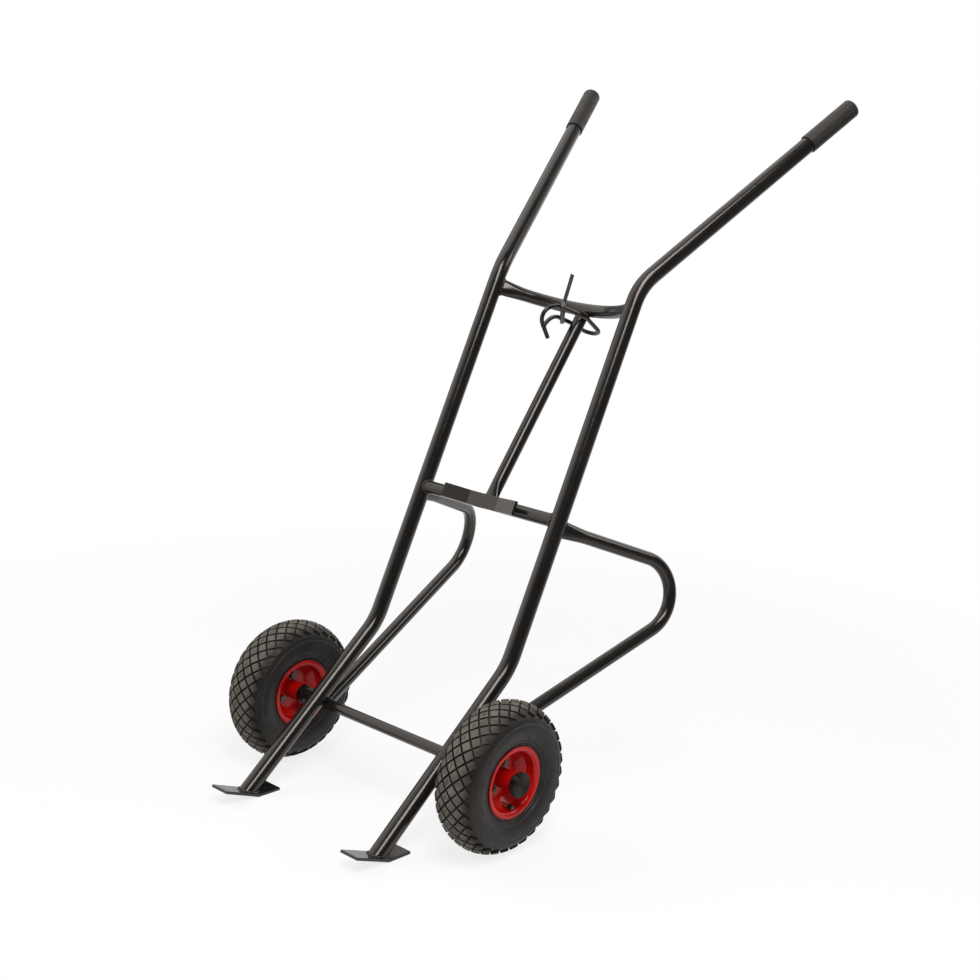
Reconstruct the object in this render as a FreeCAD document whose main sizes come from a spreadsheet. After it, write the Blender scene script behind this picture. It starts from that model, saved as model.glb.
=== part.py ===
# Drum trolley: a two-wheeled hand truck for steel drums, as a parametric document in millimetres.
# X runs across, to the right as seen from the toe, Y runs back to the handles, Z runs up from the floor.
import FreeCAD, Part
import os
from math import asin, atan2, cos, hypot, pi, radians, sin, sqrt, tan

import Sketcher
from FreeCAD import Placement, Rotation, Vector

SIZES = {
    # Clearances: a weld gap between frame pieces, a fit on a fixed shaft, and gaps at pieces that turn
    "weld_gap": 0.3,
    "fit_clearance": 0.05,
    "bearing_clearance": 0.05,
    "running_gap": 0.3,
    "cut_overrun": 20,
    # Side rails, bent round tube
    "rail_diameter": 30,
    "rail_wall": 2,
    "rail_half_spacing": 165,
    "rail_bend_radius": 115,
    "rail_lean_angle": 23.7,
    "toe_reach": 181,
    "lower_bend_height": 265,
    "upper_bend_height": 913,
    "handle_splay": 143.6,
    "handle_reach": 410.5,
    "handle_rise": 333.5,
    # Grips on the handles
    "grip_diameter": 35,
    "grip_length": 118,
    "grip_end_wall": 5,
    "grip_rounding": 5,
    "grip_clearance": 0.1,
    # Toe strips, bent flat bar
    "toe_strip_width": 40,
    "toe_strip_thickness": 5,
    "toe_strip_back_length": 47,
    "toe_strip_bend_setback": 14,
    "toe_strip_front_length": 77,
    "toe_strip_angle": 19.6,
    # Tube of the crossbars, the centre tube and the rear loops, with flattened ends
    "brace_diameter": 24,
    "brace_wall": 2,
    "flat_width": 32,
    "flat_thickness": 10,
    "flat_length": 70,
    # Crossbars
    "upper_crossbar_height": 880,
    "upper_crossbar_bow": 78,
    "middle_crossbar_height": 509.5,
    # Centre tube
    "centre_top_flat_length": 22,
    "centre_foot_flat_length": 45,
    # Drum saddle, bent flat bar
    "saddle_height": 26,
    "saddle_thickness": 6,
    "saddle_centre_width": 70,
    "saddle_wing_length": 55,
    "saddle_angle": 16,
    # Rear loops
    "loop_join_height": 500,
    "loop_height": 370,
    "loop_reach": 352,
    "loop_spread": 119.7,
    "loop_bend_radius": 70,
    "loop_foot_offset": 2,
    "loop_foot_setback": 5,
    # Axle and what holds the wheels on it
    "axle_diameter": 20,
    "axle_chamfer": 1.5,
    "stop_ring_diameter": 32,
    "stop_ring_width": 10,
    "washer_diameter": 36,
    "washer_thickness": 2.5,
    "cap_diameter": 42.5,
    "cap_depth": 9,
    "cap_end_wall": 3,
    "cap_rounding": 3,
    # Tyre
    "wheel_half_spacing": 263.3,
    "tyre_diameter": 260,
    "tyre_crown_radius": 55,
    "tyre_wall": 5,
    "sidewall_radius": 40,
    "bead_width": 7,
    "bead_height": 12,
    # Tread blocks
    "tread_count": 32,
    "tread_depth": 3.5,
    "tread_edge_angle": 47,
    "tread_row_step": 11.1,
    "tread_groove": 3,
    "tread_sink": 1.5,
    "tread_flare": 0.9,
    "sipe_width": 1.2,
    "sipe_length": 8,
    "sipe_depth": 1.6,
    # Inner tube and valve
    "tube_radius": 33,
    "tube_wall": 2,
    "tube_gap": 0.5,
    "valve_diameter": 6,
    "valve_circle_radius": 44,
    "valve_root_offset": 1,
    "valve_bend_radius": 5,
    "valve_reach": 30,
    "valve_cap_diameter": 8,
    "valve_cap_length": 11,
    "valve_cap_wall": 2,
    "valve_hole_clearance": 0.3,
    # Rim, two pressed halves that meet on the wheel's middle plane
    "rim_sheet": 2.5,
    "rim_joint_gap": 0.1,
    "rim_disc_radius": 36,
    "rim_well_offset": 15.5,
    "rim_well_radius": 48,
    "rim_seat_radius": 50.5,
    "rim_lip_offset": 34,
    "rim_lip_radius": 62,
    "rim_bend": 6,
    "bead_gap": 0.3,
    # Bolts that hold the rim halves together
    "bolt_count": 3,
    "bolt_circle_radius": 27,
    "bolt_diameter": 8,
    "bolt_hole_clearance": 0.3,
    "bolt_end": 2,
    "hex_width": 13,
    "bolt_head_height": 5.3,
    "nut_height": 6.5,
    # Hub and bushes
    "hub_diameter": 33,
    "hub_bore": 27,
    "hub_length": 75,
    "bush_flange_diameter": 34,
    "bush_flange_thickness": 3,
    "bush_length": 20,
    # Hook that slides on the centre tube, and its tie
    "hook_rod_diameter": 8,
    "hook_clearance": 0.9,
    "hook_drop": 9,
    "hook_reach": 102,
    "hook_fall": 84,
    "hook_nose_radius": 13,
    "hook_crest_radius": 25,
    "hook_leg_radius": 40,
    "hook_back_radius": 16.5,
    "hook_foot_radius": 15,
    "tie_width": 7.6,
    "tie_thickness": 1.6,
    "tie_clearance": 0.7,
    "tie_overhang": 7.5,
    "tie_head_length": 11,
    "tie_head_height": 7,
    "tie_tail_length": 58,
    "tie_tail_lean": 16,
}
# Where the sections of a flattened tube end stand between its round and its flat side
FLATTEN_SHARES = (0, 1 / 3, 2 / 3, 1)
# Corners of the hook's rod, as shares of its half width, of its reach out from the tube and of its fall
HOOK_FRONT_SHARES = ((0, 0.565, -1.036), (0.1, 1.08, -0.762), (0.62, 0.853, -0.402), (1, 0.049, -0.106))
HOOK_BACK_SHARES = ((1, -0.515, -0.101), (-1, -0.515, -0.137), (-1, -0.147, -0.207))
HOOK_FAR_SHARES = ((-1, -0.147, -0.207), (-1, 0.392, -0.399), (-0.5, 0.647, -0.571), (0, 0.804, -0.908))
# Where the tie lies along the hook's front leg and along its far leg
TIE_FRONT_SHARE = 0.21
TIE_FAR_SHARE = 0.76
TREAD_ROWS = range(-3, 4)
ACROSS = Vector(1, 0, 0)
UP = Vector(0, 0, 1)

doc = FreeCAD.newDocument("drum_trolley")
sheet = doc.addObject("Spreadsheet::Sheet", "sizes")
for row, (alias, number) in enumerate(SIZES.items(), start=1):
    sheet.set(f"A{row}", alias)
    sheet.set(f"B{row}", str(number))
    sheet.setAlias(f"B{row}", alias)
doc.recompute()
nodes = []


def measure(expression):
    """The number that an expression in the sheet's sizes comes to."""
    return float(sheet.evalExpression(expression))


def size(alias):
    """One size of the sheet."""
    return float(sheet.get(alias))


def node(piece):
    """Lists a finished piece for writing."""
    nodes.append(piece)
    return piece


def facing(position, along, broad):
    """A placement with its local Z along a direction and its local X as near as possible to another."""
    z_way = Vector(along).normalize()
    x_way = (broad - z_way * broad.dot(z_way)).normalize()
    return Placement(position, Rotation(x_way, z_way.cross(x_way), z_way, "ZXY"))


def bent_path(points, radii):
    """A wire of straight runs through the points, with a tangent arc at each inner one."""
    edges = []
    start = points[0]
    for before, corner, after, radius in zip(points, points[1:], points[2:], radii):
        arrive = (corner - before).normalize()
        leave = (after - corner).normalize()
        turn = arrive.getAngle(leave)
        setback = radius * tan(turn / 2)
        inward = (leave - arrive).normalize()
        entry = corner - arrive * setback
        middle = corner + inward * radius * (1 / cos(turn / 2) - 1)
        way_out = corner + leave * setback
        edges.append(Part.LineSegment(start, entry).toShape())
        edges.append(Part.Arc(entry, middle, way_out).toShape())
        start = way_out
    edges.append(Part.LineSegment(start, points[-1]).toShape())
    return Part.Wire(edges)


def swept(name, path, radius):
    """A round bar of the radius, an expression, along a path."""
    spine = doc.addObject("Part::Feature", f"{name}_path")
    spine.Shape = path
    first = path.OrderedEdges[0]
    section = doc.addObject("Part::Circle", f"{name}_section")
    section.setExpression("Radius", radius)
    section.Placement = Placement(first.valueAt(first.FirstParameter),
                                  Rotation(UP, first.tangentAt(first.FirstParameter)))
    bar = doc.addObject("Part::Sweep", name)
    bar.Sections = [section]
    bar.Spine = (spine, [f"Edge{index}" for index in range(1, len(path.Edges) + 1)])
    bar.Solid = True
    bar.Transition = "Right corner"
    return bar


def cylinder(name, radius, length, placement):
    """A cylinder whose radius and length are expressions, from a placement along its local Z."""
    bar = doc.addObject("Part::Cylinder", name)
    bar.setExpression("Radius", radius)
    bar.setExpression("Height", length)
    bar.Placement = placement
    return bar


def box(name, length, width, height, placement):
    """A box whose three sizes are expressions, from a placement."""
    block = doc.addObject("Part::Box", name)
    for side, expression in (("Length", length), ("Width", width), ("Height", height)):
        block.setExpression(side, expression)
    block.Placement = placement
    return block


def fused(name, pieces):
    """Pieces joined to one solid."""
    joined = doc.addObject("Part::MultiFuse", name)
    joined.Shapes = pieces
    return joined


def cut(name, base, *tools):
    """A piece less each of the tools."""
    for index, tool in enumerate(tools, start=1):
        rest = doc.addObject("Part::Cut", name if index == len(tools) else f"{name}_less_{index}")
        rest.Base = base
        rest.Tool = tool
        base = rest
    return base


def mirrored(name, source):
    """A piece's twin on the other side of the trolley."""
    twin = doc.addObject("Part::Mirroring", name)
    twin.Source = source
    twin.Normal = ACROSS
    return twin


def flattened_end(name, stations, shrink):
    """A tube's end that goes from round to flat through its stations, smaller all round by an expression."""
    sections = []
    for index, (place, share) in enumerate(stations):
        ease = share * share * (3 - 2 * share)
        section = doc.addObject("Part::Ellipse", f"{name}_section_{index}")
        for radius, flat in (("MajorRadius", "flat_width"), ("MinorRadius", "flat_thickness")):
            spread = f"(sizes.{flat} - sizes.brace_diameter) * {ease}"
            section.setExpression(radius, f"(sizes.brace_diameter + {spread}) / 2 - {shrink}")
        section.Placement = place
        sections.append(section)
    end = doc.addObject("Part::Loft", name)
    end.Sections = sections
    end.Solid = True
    return end


def brace_tube(name, path, ends):
    """A brace's tube: a swept round part and its flattened ends, hollow right through."""
    skins = []
    for skin, shrink in (("outside", "0"), ("inside", "sizes.brace_wall")):
        pieces = [swept(f"{name}_{skin}_run", path, f"sizes.brace_diameter / 2 - {shrink}")]
        for index, stations in enumerate(ends):
            pieces.append(flattened_end(f"{name}_{skin}_end_{index}", stations, shrink))
        skins.append(fused(f"{name}_{skin}", pieces))
    return cut(f"{name}_tube", *skins)


def straight_stations(round_side, flat_side, broad):
    """Stations of a straight flattened end, from its round to its flat side."""
    way = flat_side - round_side
    return [(facing(round_side + way * share, way, broad), share) for share in FLATTEN_SHARES]


def origin_plane(body, role):
    """One of a body's own origin planes."""
    return next(plane for plane in body.Origin.OriginFeatures if plane.Role == role)


def arc_between(start, end, radius, side):
    """An arc of under half a turn between two points, right of the line or, at side -1, left of it."""
    chord = end - start
    bulge = radius - sqrt(radius ** 2 - (chord.Length / 2) ** 2)
    right = Vector(chord.y, -chord.x, 0).normalize()
    return Part.Arc(start, (start + end) * 0.5 + right * bulge * side, end)


def pin(sketch, edge, mark, kind, expression):
    """Ties one coordinate of an edge's end point to an expression."""
    number = measure(expression)
    if number == 0:
        base = -2 if kind == "DistanceX" else -1
        sketch.addConstraint(Sketcher.Constraint("PointOnObject", edge, mark, base))
        return
    if number > 0:
        index = sketch.addConstraint(Sketcher.Constraint(kind, -1, 1, edge, mark, number))
        sketch.setExpression(f"Constraints[{index}]", expression)
        return
    index = sketch.addConstraint(Sketcher.Constraint(kind, edge, mark, -1, 1, -number))
    sketch.setExpression(f"Constraints[{index}]", f"-({expression})")


def draw_outline(sketch, corners, arcs):
    """Draws a closed outline, the solid on its left, through corners given as expressions.

    arcs maps an edge's number to the radius that bends it and to its side, 1 out of the solid and -1 into it.
    """
    base = sketch.GeometryCount
    points = [Vector(measure(across), measure(up), 0) for across, up in corners]
    marks = []
    for index, start in enumerate(points):
        end = points[(index + 1) % len(points)]
        edge = Part.LineSegment(start, end)
        if index in arcs:
            radius, side = arcs[index]
            edge = arc_between(start, end, measure(radius), side)
        number = sketch.addGeometry(edge)
        first, second = (sketch.getPoint(number, mark).distanceToPoint(start) for mark in (1, 2))
        marks.append((1, 2) if first < second else (2, 1))
    for index, (across, up) in enumerate(corners):
        following = (index + 1) % len(points)
        sketch.addConstraint(Sketcher.Constraint("Coincident", base + index, marks[index][1],
                                                 base + following, marks[following][0]))
        pin(sketch, base + index, marks[index][0], "DistanceX", across)
        pin(sketch, base + index, marks[index][0], "DistanceY", up)
    for index, (radius, side) in arcs.items():
        number = sketch.addConstraint(Sketcher.Constraint("Radius", base + index, measure(radius)))
        sketch.setExpression(f"Constraints[{number}]", radius)


def draw_circle(sketch, across, up, radius):
    """Draws a circle whose centre and radius are expressions."""
    centre = Vector(measure(across), measure(up), 0)
    edge = sketch.addGeometry(Part.Circle(centre, UP, measure(radius)))
    pin(sketch, edge, 3, "DistanceX", across)
    pin(sketch, edge, 3, "DistanceY", up)
    number = sketch.addConstraint(Sketcher.Constraint("Radius", edge, measure(radius)))
    sketch.setExpression(f"Constraints[{number}]", radius)


def new_sketch(body, name, role):
    """A sketch on one of a body's origin planes."""
    sketch = body.newObject("Sketcher::SketchObject", name)
    sketch.AttachmentSupport = [(origin_plane(body, role), "")]
    sketch.MapMode = "FlatFace"
    return sketch


def revolved(name, corners, arcs=None):
    """A body turned about its X axis from an outline of (along the axis, radius)."""
    body = doc.addObject("PartDesign::Body", name)
    sketch = new_sketch(body, f"{name}_profile", "XZ_Plane")
    draw_outline(sketch, corners, arcs or {})
    turn = body.newObject("PartDesign::Revolution", f"{name}_turn")
    turn.Profile = sketch
    turn.ReferenceAxis = (sketch, ["H_Axis"])
    turn.Angle = 360
    return body


def padded(name, role, length, outlines):
    """A body of even thickness, an expression, about one of its origin planes."""
    body = doc.addObject("PartDesign::Body", name)
    sketch = new_sketch(body, f"{name}_profile", role)
    for corners, arcs in outlines:
        draw_outline(sketch, corners, arcs)
    pad = body.newObject("PartDesign::Pad", f"{name}_pad")
    pad.Profile = sketch
    pad.SideType = "Symmetric"
    pad.setExpression("Length", length)
    return body


def ring(name, start, end, bore, rim):
    """A plain ring about the X axis between two places along it."""
    return revolved(name, ((start, bore), (end, bore), (end, rim), (start, rim)))


# The rails' line, in the plane of one rail, measured back from the axle
rail_radius = size("rail_diameter") / 2
axle_radius = size("axle_diameter") / 2
brace_radius = size("brace_diameter") / 2
strip_thickness = size("toe_strip_thickness")
strip_angle = radians(size("toe_strip_angle"))
lean = radians(size("rail_lean_angle"))
axle_height = size("tyre_diameter") / 2
toe_rise = axle_height - strip_thickness
toe_slope = atan2(toe_rise, size("toe_reach")) + asin(
    (rail_radius + axle_radius + size("weld_gap")) / hypot(toe_rise, size("toe_reach")))
lower_bend = (size("lower_bend_height") - strip_thickness) / tan(toe_slope) - size("toe_reach")
upper_bend = lower_bend + (size("upper_bend_height") - size("lower_bend_height")) * tan(lean)
handle_run = Vector(size("handle_splay"), size("handle_reach"), size("handle_rise"))
handle_way = Vector(handle_run).normalize()

# The origin lies under the middle of the trolley's length, from the toe strips' fronts to the grips' ends
strip_bend = size("toe_strip_bend_setback") - size("toe_reach")
front_run = size("toe_strip_front_length") * cos(strip_angle)
front_end = strip_bend - front_run - strip_thickness * sin(strip_angle)
grip_round = size("grip_rounding")
back_end = (upper_bend + handle_run.y + grip_round * (1 - handle_way.y)
            + (size("grip_diameter") / 2 - grip_round) * sqrt(1 - handle_way.y ** 2))
axle_y = -(front_end + back_end) / 2

rail_way = Vector(0, sin(lean), cos(lean))
rail_back = Vector(0, cos(lean), -sin(lean))


def rail_point(height, across=size("rail_half_spacing")):
    """A point on the straight middle of a rail's axis."""
    return Vector(across, axle_y + lower_bend + (height - size("lower_bend_height")) * tan(lean), height)


toe_point = Vector(size("rail_half_spacing"), axle_y - size("toe_reach"), strip_thickness)
toe_way = Vector(0, cos(toe_slope), sin(toe_slope))
grip_end = rail_point(size("upper_bend_height")) + handle_run
tube_end = grip_end - handle_way * (size("grip_end_wall") + size("weld_gap"))
rail_corners = (toe_point - toe_way * size("rail_diameter"), rail_point(size("lower_bend_height")),
                rail_point(size("upper_bend_height")), tube_end)
rail_path = bent_path(rail_corners, (size("rail_bend_radius"),) * 2)
right_rail_envelope = swept("right_rail_envelope", rail_path, "sizes.rail_diameter / 2 + sizes.weld_gap")
left_rail_envelope = mirrored("left_rail_envelope", right_rail_envelope)


def side_rail():
    """A rail's tube, trimmed at its foot to the bent top of the toe strip."""
    outside = swept("rail_outside", rail_path, "sizes.rail_diameter / 2")
    inside = swept("rail_inside", rail_path, "sizes.rail_diameter / 2 - sizes.rail_wall")
    tube = cut("rail_tube", outside, inside)
    side = "sizes.toe_strip_width + 2 * sizes.cut_overrun"
    length = "sizes.toe_strip_front_length + sizes.toe_strip_back_length + sizes.cut_overrun"
    corner = Vector(-measure(side) / 2, -measure(length) / 2, -measure(length))
    hinge = Vector(toe_point.x, axle_y + strip_bend, strip_thickness + size("weld_gap"))
    trims = []
    for name, angle in (("flat", 0), ("raised", -size("toe_strip_angle"))):
        turn = Rotation(ACROSS, angle)
        trims.append(box(f"rail_trim_{name}", side, length, length, Placement(hinge + turn * corner, turn)))
    return cut("right_side_rail", tube, *trims)


def grip():
    """A soft sleeve with a rounded closed end, on the end of a handle."""
    bore = "sizes.rail_diameter / 2 + sizes.grip_clearance"
    depth = "sizes.grip_length - sizes.grip_end_wall"
    skin = "sizes.grip_diameter / 2"
    bend = "sizes.grip_rounding"
    corners = (("0", bore), (depth, bore), (depth, "0"), ("sizes.grip_length", "0"),
               ("sizes.grip_length", f"{skin} - {bend}"), (f"sizes.grip_length - {bend}", skin), ("0", skin))
    body = revolved("right_grip", corners, {4: (bend, 1)})
    start = grip_end - handle_way * size("grip_length")
    body.Placement = Placement(start, Rotation(ACROSS, handle_way))
    return body


def toe_strip():
    """A flat bar under a rail's foot, flat on the floor behind and turned up in front."""
    back = "sizes.toe_strip_back_length"
    thick = "sizes.toe_strip_thickness"
    angle = "sizes.toe_strip_angle"
    reach = f"sizes.toe_strip_front_length * cos({angle})"
    rise = f"{thick} + sizes.toe_strip_front_length * sin({angle})"
    corners = ((back, "0"), (back, thick), ("0", thick), (f"-({reach})", rise),
               (f"-({reach}) - {thick} * sin({angle})", f"{rise} - {thick} * cos({angle})"),
               (f"-{thick} * tan({angle} / 2)", "0"))
    body = padded("right_toe_strip", "YZ_Plane", "sizes.toe_strip_width", ((corners, {}),))
    body.Placement.Base = Vector(size("rail_half_spacing"), axle_y + strip_bend, 0)
    return body


def upper_crossbar_point(angle):
    """A point and a direction on the upper crossbar's bowed axis, at an angle from its middle."""
    sag = bow - bow_radius * (1 - cos(angle))
    middle = rail_point(size("upper_crossbar_height"), 0)
    return (middle + ACROSS * bow_radius * sin(angle) + rail_back * sag,
            ACROSS * cos(angle) - rail_back * sin(angle))


bow = size("upper_crossbar_bow")
bow_radius = (size("rail_half_spacing") ** 2 + bow ** 2) / (2 * bow)
bow_end = asin(size("rail_half_spacing") / bow_radius)
crossbar_middle = upper_crossbar_point(0)[0]
middle_crossbar_point = rail_point(size("middle_crossbar_height"), 0)


def bow_arc(half_angle):
    """The stretch of the upper crossbar's axis within an angle of its middle."""
    ends = [upper_crossbar_point(angle)[0] for angle in (-half_angle, 0, half_angle)]
    return Part.Wire([Part.Arc(*ends).toShape()])


def upper_crossbar():
    """A bowed tube between the rails, flattened at both ends."""
    round_end = bow_end - size("flat_length") / bow_radius
    ends = []
    for side in (-1, 1):
        stations = []
        for share in FLATTEN_SHARES:
            place, way = upper_crossbar_point(side * (round_end + share * (bow_end - round_end)))
            stations.append((facing(place, way, rail_way), share))
        ends.append(stations)
    bar = brace_tube("upper_crossbar", bow_arc(round_end), ends)
    return cut("upper_crossbar", bar, right_rail_envelope, left_rail_envelope)


def middle_crossbar():
    """A straight tube between the rails."""
    start = rail_point(size("middle_crossbar_height"), -size("rail_half_spacing"))
    place = Placement(start, Rotation(UP, ACROSS))
    length = "2 * sizes.rail_half_spacing"
    outside = cylinder("middle_crossbar_outside", "sizes.brace_diameter / 2", length, place)
    inside = cylinder("middle_crossbar_inside", "sizes.brace_diameter / 2 - sizes.brace_wall", length, place)
    return cut("middle_crossbar", outside, inside, right_rail_envelope, left_rail_envelope)


centre_way = (crossbar_middle - middle_crossbar_point).normalize()
centre_front = ACROSS.cross(centre_way)


def centre_tube():
    """A straight tube between the two crossbars, flattened at both ends."""
    low = middle_crossbar_point + centre_way * size("centre_foot_flat_length")
    high = crossbar_middle - centre_way * size("centre_top_flat_length")
    ends = (straight_stations(low, middle_crossbar_point, ACROSS),
            straight_stations(high, crossbar_middle, ACROSS))
    bar = brace_tube("centre_tube", bent_path((low, high), ()), ends)
    grown = "sizes.brace_diameter / 2 + sizes.weld_gap"
    upper = swept("upper_crossbar_envelope", bow_arc(bow_end / 2), grown)
    reach = size("flat_width")
    place = Placement(middle_crossbar_point - ACROSS * reach, Rotation(UP, ACROSS))
    lower = cylinder("middle_crossbar_envelope", grown, "2 * sizes.flat_width", place)
    return cut("centre_tube", bar, upper, lower)


def drum_saddle():
    """A flat bar in front of the middle crossbar, with both wings bent forward to a shallow cradle."""
    half = "sizes.saddle_centre_width / 2"
    thick = "sizes.saddle_thickness"
    angle = "sizes.saddle_angle"
    tip = f"{half} + sizes.saddle_wing_length * cos({angle})"
    fall = f"-sizes.saddle_wing_length * sin({angle})"
    right = ((half, "0"), (tip, fall),
             (f"{tip} - {thick} * sin({angle})", f"{fall} - {thick} * cos({angle})"),
             (f"{half} - {thick} * tan({angle} / 2)", f"-{thick}"))
    left = tuple((f"-({across})", back) for across, back in reversed(right))
    body = padded("drum_saddle", "XY_Plane", "sizes.saddle_height", ((right + left, {}),))
    seat = middle_crossbar_point - rail_back * (brace_radius + size("weld_gap"))
    body.Placement = facing(seat, rail_way, ACROSS)
    return body


axle_point = Vector(0, axle_y, axle_height)


def rear_loop():
    """A tube loop behind a rail, flattened at the rail and coped on the axle at its foot."""
    join = rail_point(size("loop_join_height"))
    apex = Vector(join.x + size("loop_spread"), join.y + size("loop_reach"), size("loop_height"))
    foot = axle_point + ACROSS * (size("rail_half_spacing") + size("loop_foot_offset"))
    leg_way = (apex - join).normalize()
    foot_way = (foot - apex).normalize()
    round_start = join + leg_way * size("flat_length")
    corners = (round_start, apex, foot - foot_way * size("loop_foot_setback"))
    path = bent_path(corners, (size("loop_bend_radius"),))
    bar = brace_tube("rear_loop", path, (straight_stations(round_start, join, rail_way),))
    grown = "sizes.axle_diameter / 2 + sizes.weld_gap"
    place = Placement(foot - ACROSS * size("rail_diameter"), Rotation(UP, ACROSS))
    return cut("right_rear_loop", bar, right_rail_envelope,
               cylinder("axle_envelope", grown, "2 * sizes.rail_diameter", place))


# Places along the axle, from the wheel's middle
HUB_END = "sizes.hub_length / 2"
WASHER_START = f"{HUB_END} + sizes.running_gap"
WASHER_END = f"{WASHER_START} + sizes.washer_thickness"
HOLDER_START = f"{WASHER_END} + sizes.running_gap"
CAP_FLOOR = f"{HOLDER_START} + sizes.cap_depth - sizes.cap_end_wall"
AXLE_SKIN = "sizes.axle_diameter / 2"
ON_AXLE = f"{AXLE_SKIN} + sizes.fit_clearance"
wheel_place = Placement(axle_point + ACROSS * size("wheel_half_spacing"), Rotation())


def on_wheel(piece, turn=0):
    """Puts a piece on the right wheel's middle, turned about the vertical."""
    piece.Placement = Placement(wheel_place.Base, Rotation(UP, turn))
    return piece


def axle():
    """A round bar with chamfered ends that stop short of the caps' floors."""
    end = f"sizes.wheel_half_spacing + {CAP_FLOOR} - sizes.running_gap"
    bevel = "sizes.axle_chamfer"
    corners = ((f"-({end})", "0"), (end, "0"),
               (end, f"{AXLE_SKIN} - {bevel}"), (f"{end} - {bevel}", AXLE_SKIN),
               (f"-({end}) + {bevel}", AXLE_SKIN), (f"-({end})", f"{AXLE_SKIN} - {bevel}"))
    body = revolved("axle", corners)
    body.Placement.Base = axle_point
    return body


def wheel_holders():
    """The stop ring, the washers and the cap that keep the right wheel in its place."""
    washer = "sizes.washer_diameter / 2"
    outer = on_wheel(ring("right_outer_washer", WASHER_START, WASHER_END, ON_AXLE, washer))
    inner = on_wheel(ring("right_inner_washer", WASHER_START, WASHER_END, ON_AXLE, washer), turn=180)
    stop_end = f"{HOLDER_START} + sizes.stop_ring_width"
    collar = ring("right_stop_ring", HOLDER_START, stop_end, ON_AXLE, "sizes.stop_ring_diameter / 2")
    stop = on_wheel(collar, turn=180)
    return outer, inner, stop, on_wheel(hub_cap())


def hub_cap():
    """A push-on cap with a rounded face over the axle's end."""
    skin = "sizes.cap_diameter / 2"
    face = f"{HOLDER_START} + sizes.cap_depth"
    bend = "sizes.cap_rounding"
    corners = ((HOLDER_START, ON_AXLE), (CAP_FLOOR, ON_AXLE), (CAP_FLOOR, "0"), (face, "0"),
               (face, f"{skin} - {bend}"), (f"{face} - {bend}", skin), (HOLDER_START, skin))
    return revolved("right_hub_cap", corners, {4: (bend, 1)})


# The tyre's section: its beads lie in the rim, its crown is round
LIP_INSIDE = "sizes.rim_lip_offset - sizes.rim_sheet"
BEAD_SIDE = f"{LIP_INSIDE} - sizes.bead_gap"
SEAT_OUTSIDE = "sizes.rim_seat_radius + sizes.rim_sheet"
BEAD_FOOT = f"{SEAT_OUTSIDE} + sizes.bead_gap"
CROWN_CENTRE = "sizes.tyre_diameter / 2 - sizes.tyre_crown_radius"
CARCASS = "sizes.tyre_crown_radius - sizes.tread_depth"
LINING = f"{CARCASS} - sizes.tyre_wall"


def tyre_carcass():
    """The tyre without its tread blocks, open at the beads."""
    edge = "sizes.tread_edge_angle"
    top = f"{BEAD_FOOT} + sizes.bead_height"
    inside = f"{BEAD_SIDE} - sizes.bead_width"
    half = ((f"({LINING}) * sin({edge})", f"{CROWN_CENTRE} + ({LINING}) * cos({edge})"), (inside, top),
            (inside, BEAD_FOOT), (f"{BEAD_SIDE} - sizes.rim_bend", BEAD_FOOT),
            (BEAD_SIDE, f"{BEAD_FOOT} + sizes.rim_bend"), (BEAD_SIDE, top),
            (f"({CARCASS}) * sin({edge})", f"{CROWN_CENTRE} + ({CARCASS}) * cos({edge})"))
    other = tuple((f"-({across})", radius) for across, radius in reversed(half))
    wall = "sizes.sidewall_radius"
    inner_wall = f"{wall} - sizes.tyre_wall"
    # Edges are counted from the lining's edge on one side, round the beads and over the crown
    arcs = {0: (inner_wall, -1), 5: (wall, 1), 6: (CARCASS, 1), 7: (wall, 1),
            12: (inner_wall, -1), 13: (LINING, -1)}
    return revolved("tyre_carcass", half + other, arcs)


def tread_block(row_number):
    """One diamond block of a tread row, on the top of the wheel, flat on top and wider at its root."""
    centre = measure(CROWN_CENTRE)
    crown = size("tyre_crown_radius")
    tilt = row_number * size("tread_row_step") / crown
    half_round = pi * (centre + crown * cos(tilt)) / size("tread_count")
    half_across = size("tread_row_step")
    groove = size("tread_groove") / 2 * hypot(half_round, half_across)
    reach_round = half_round - groove / half_across
    reach_across = half_across - groove / half_round
    outward = Vector(sin(tilt), 0, cos(tilt))
    across = Vector(cos(tilt), 0, -sin(tilt))
    fall = reach_round ** 2 / size("tyre_diameter")
    rims = []
    for height, grow in ((crown - fall, 0), (measure(CARCASS) - size("tread_sink"), size("tread_flare"))):
        middle = UP * centre + outward * height
        round_arm = Vector(0, reach_round + grow, 0)
        across_arm = across * (reach_across + grow)
        corners = [middle + round_arm, middle + across_arm, middle - round_arm, middle - across_arm]
        rims.append(Part.makePolygon(corners + corners[:1]))
    block = Part.makeLoft(rims, True, True)
    if row_number == 0:
        floor = centre + crown - size("sipe_depth")
        corner = Vector(-size("sipe_width") / 2, -size("sipe_length") / 2, floor)
        block = block.cut(Part.makeBox(size("sipe_width"), size("sipe_length"), size("tread_depth"), corner))
    return block


def tyre():
    """The tyre: its carcass with staggered rows of diamond blocks all round."""
    pitch = 360 / size("tread_count")
    blocks = []
    for row_number in TREAD_ROWS:
        block = tread_block(row_number)
        stagger = row_number % 2 / 2
        for index in range(int(size("tread_count"))):
            turned = block.copy()
            turned.rotate(Vector(), ACROSS, pitch * (index + stagger))
            blocks.append(turned)
    tread = doc.addObject("Part::Feature", "tread")
    tread.Shape = Part.makeCompound(blocks)
    joined = doc.addObject("Part::Fuse", "right_tyre")
    joined.Base = tyre_carcass()
    joined.Tool = tread
    return on_wheel(joined)


TUBE_CENTRE = f"{CROWN_CENTRE} + {LINING} - sizes.tube_gap - sizes.tube_radius"
VALVE_ROOT = f"{TUBE_CENTRE} - sizes.tube_radius + sizes.tube_wall"


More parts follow.
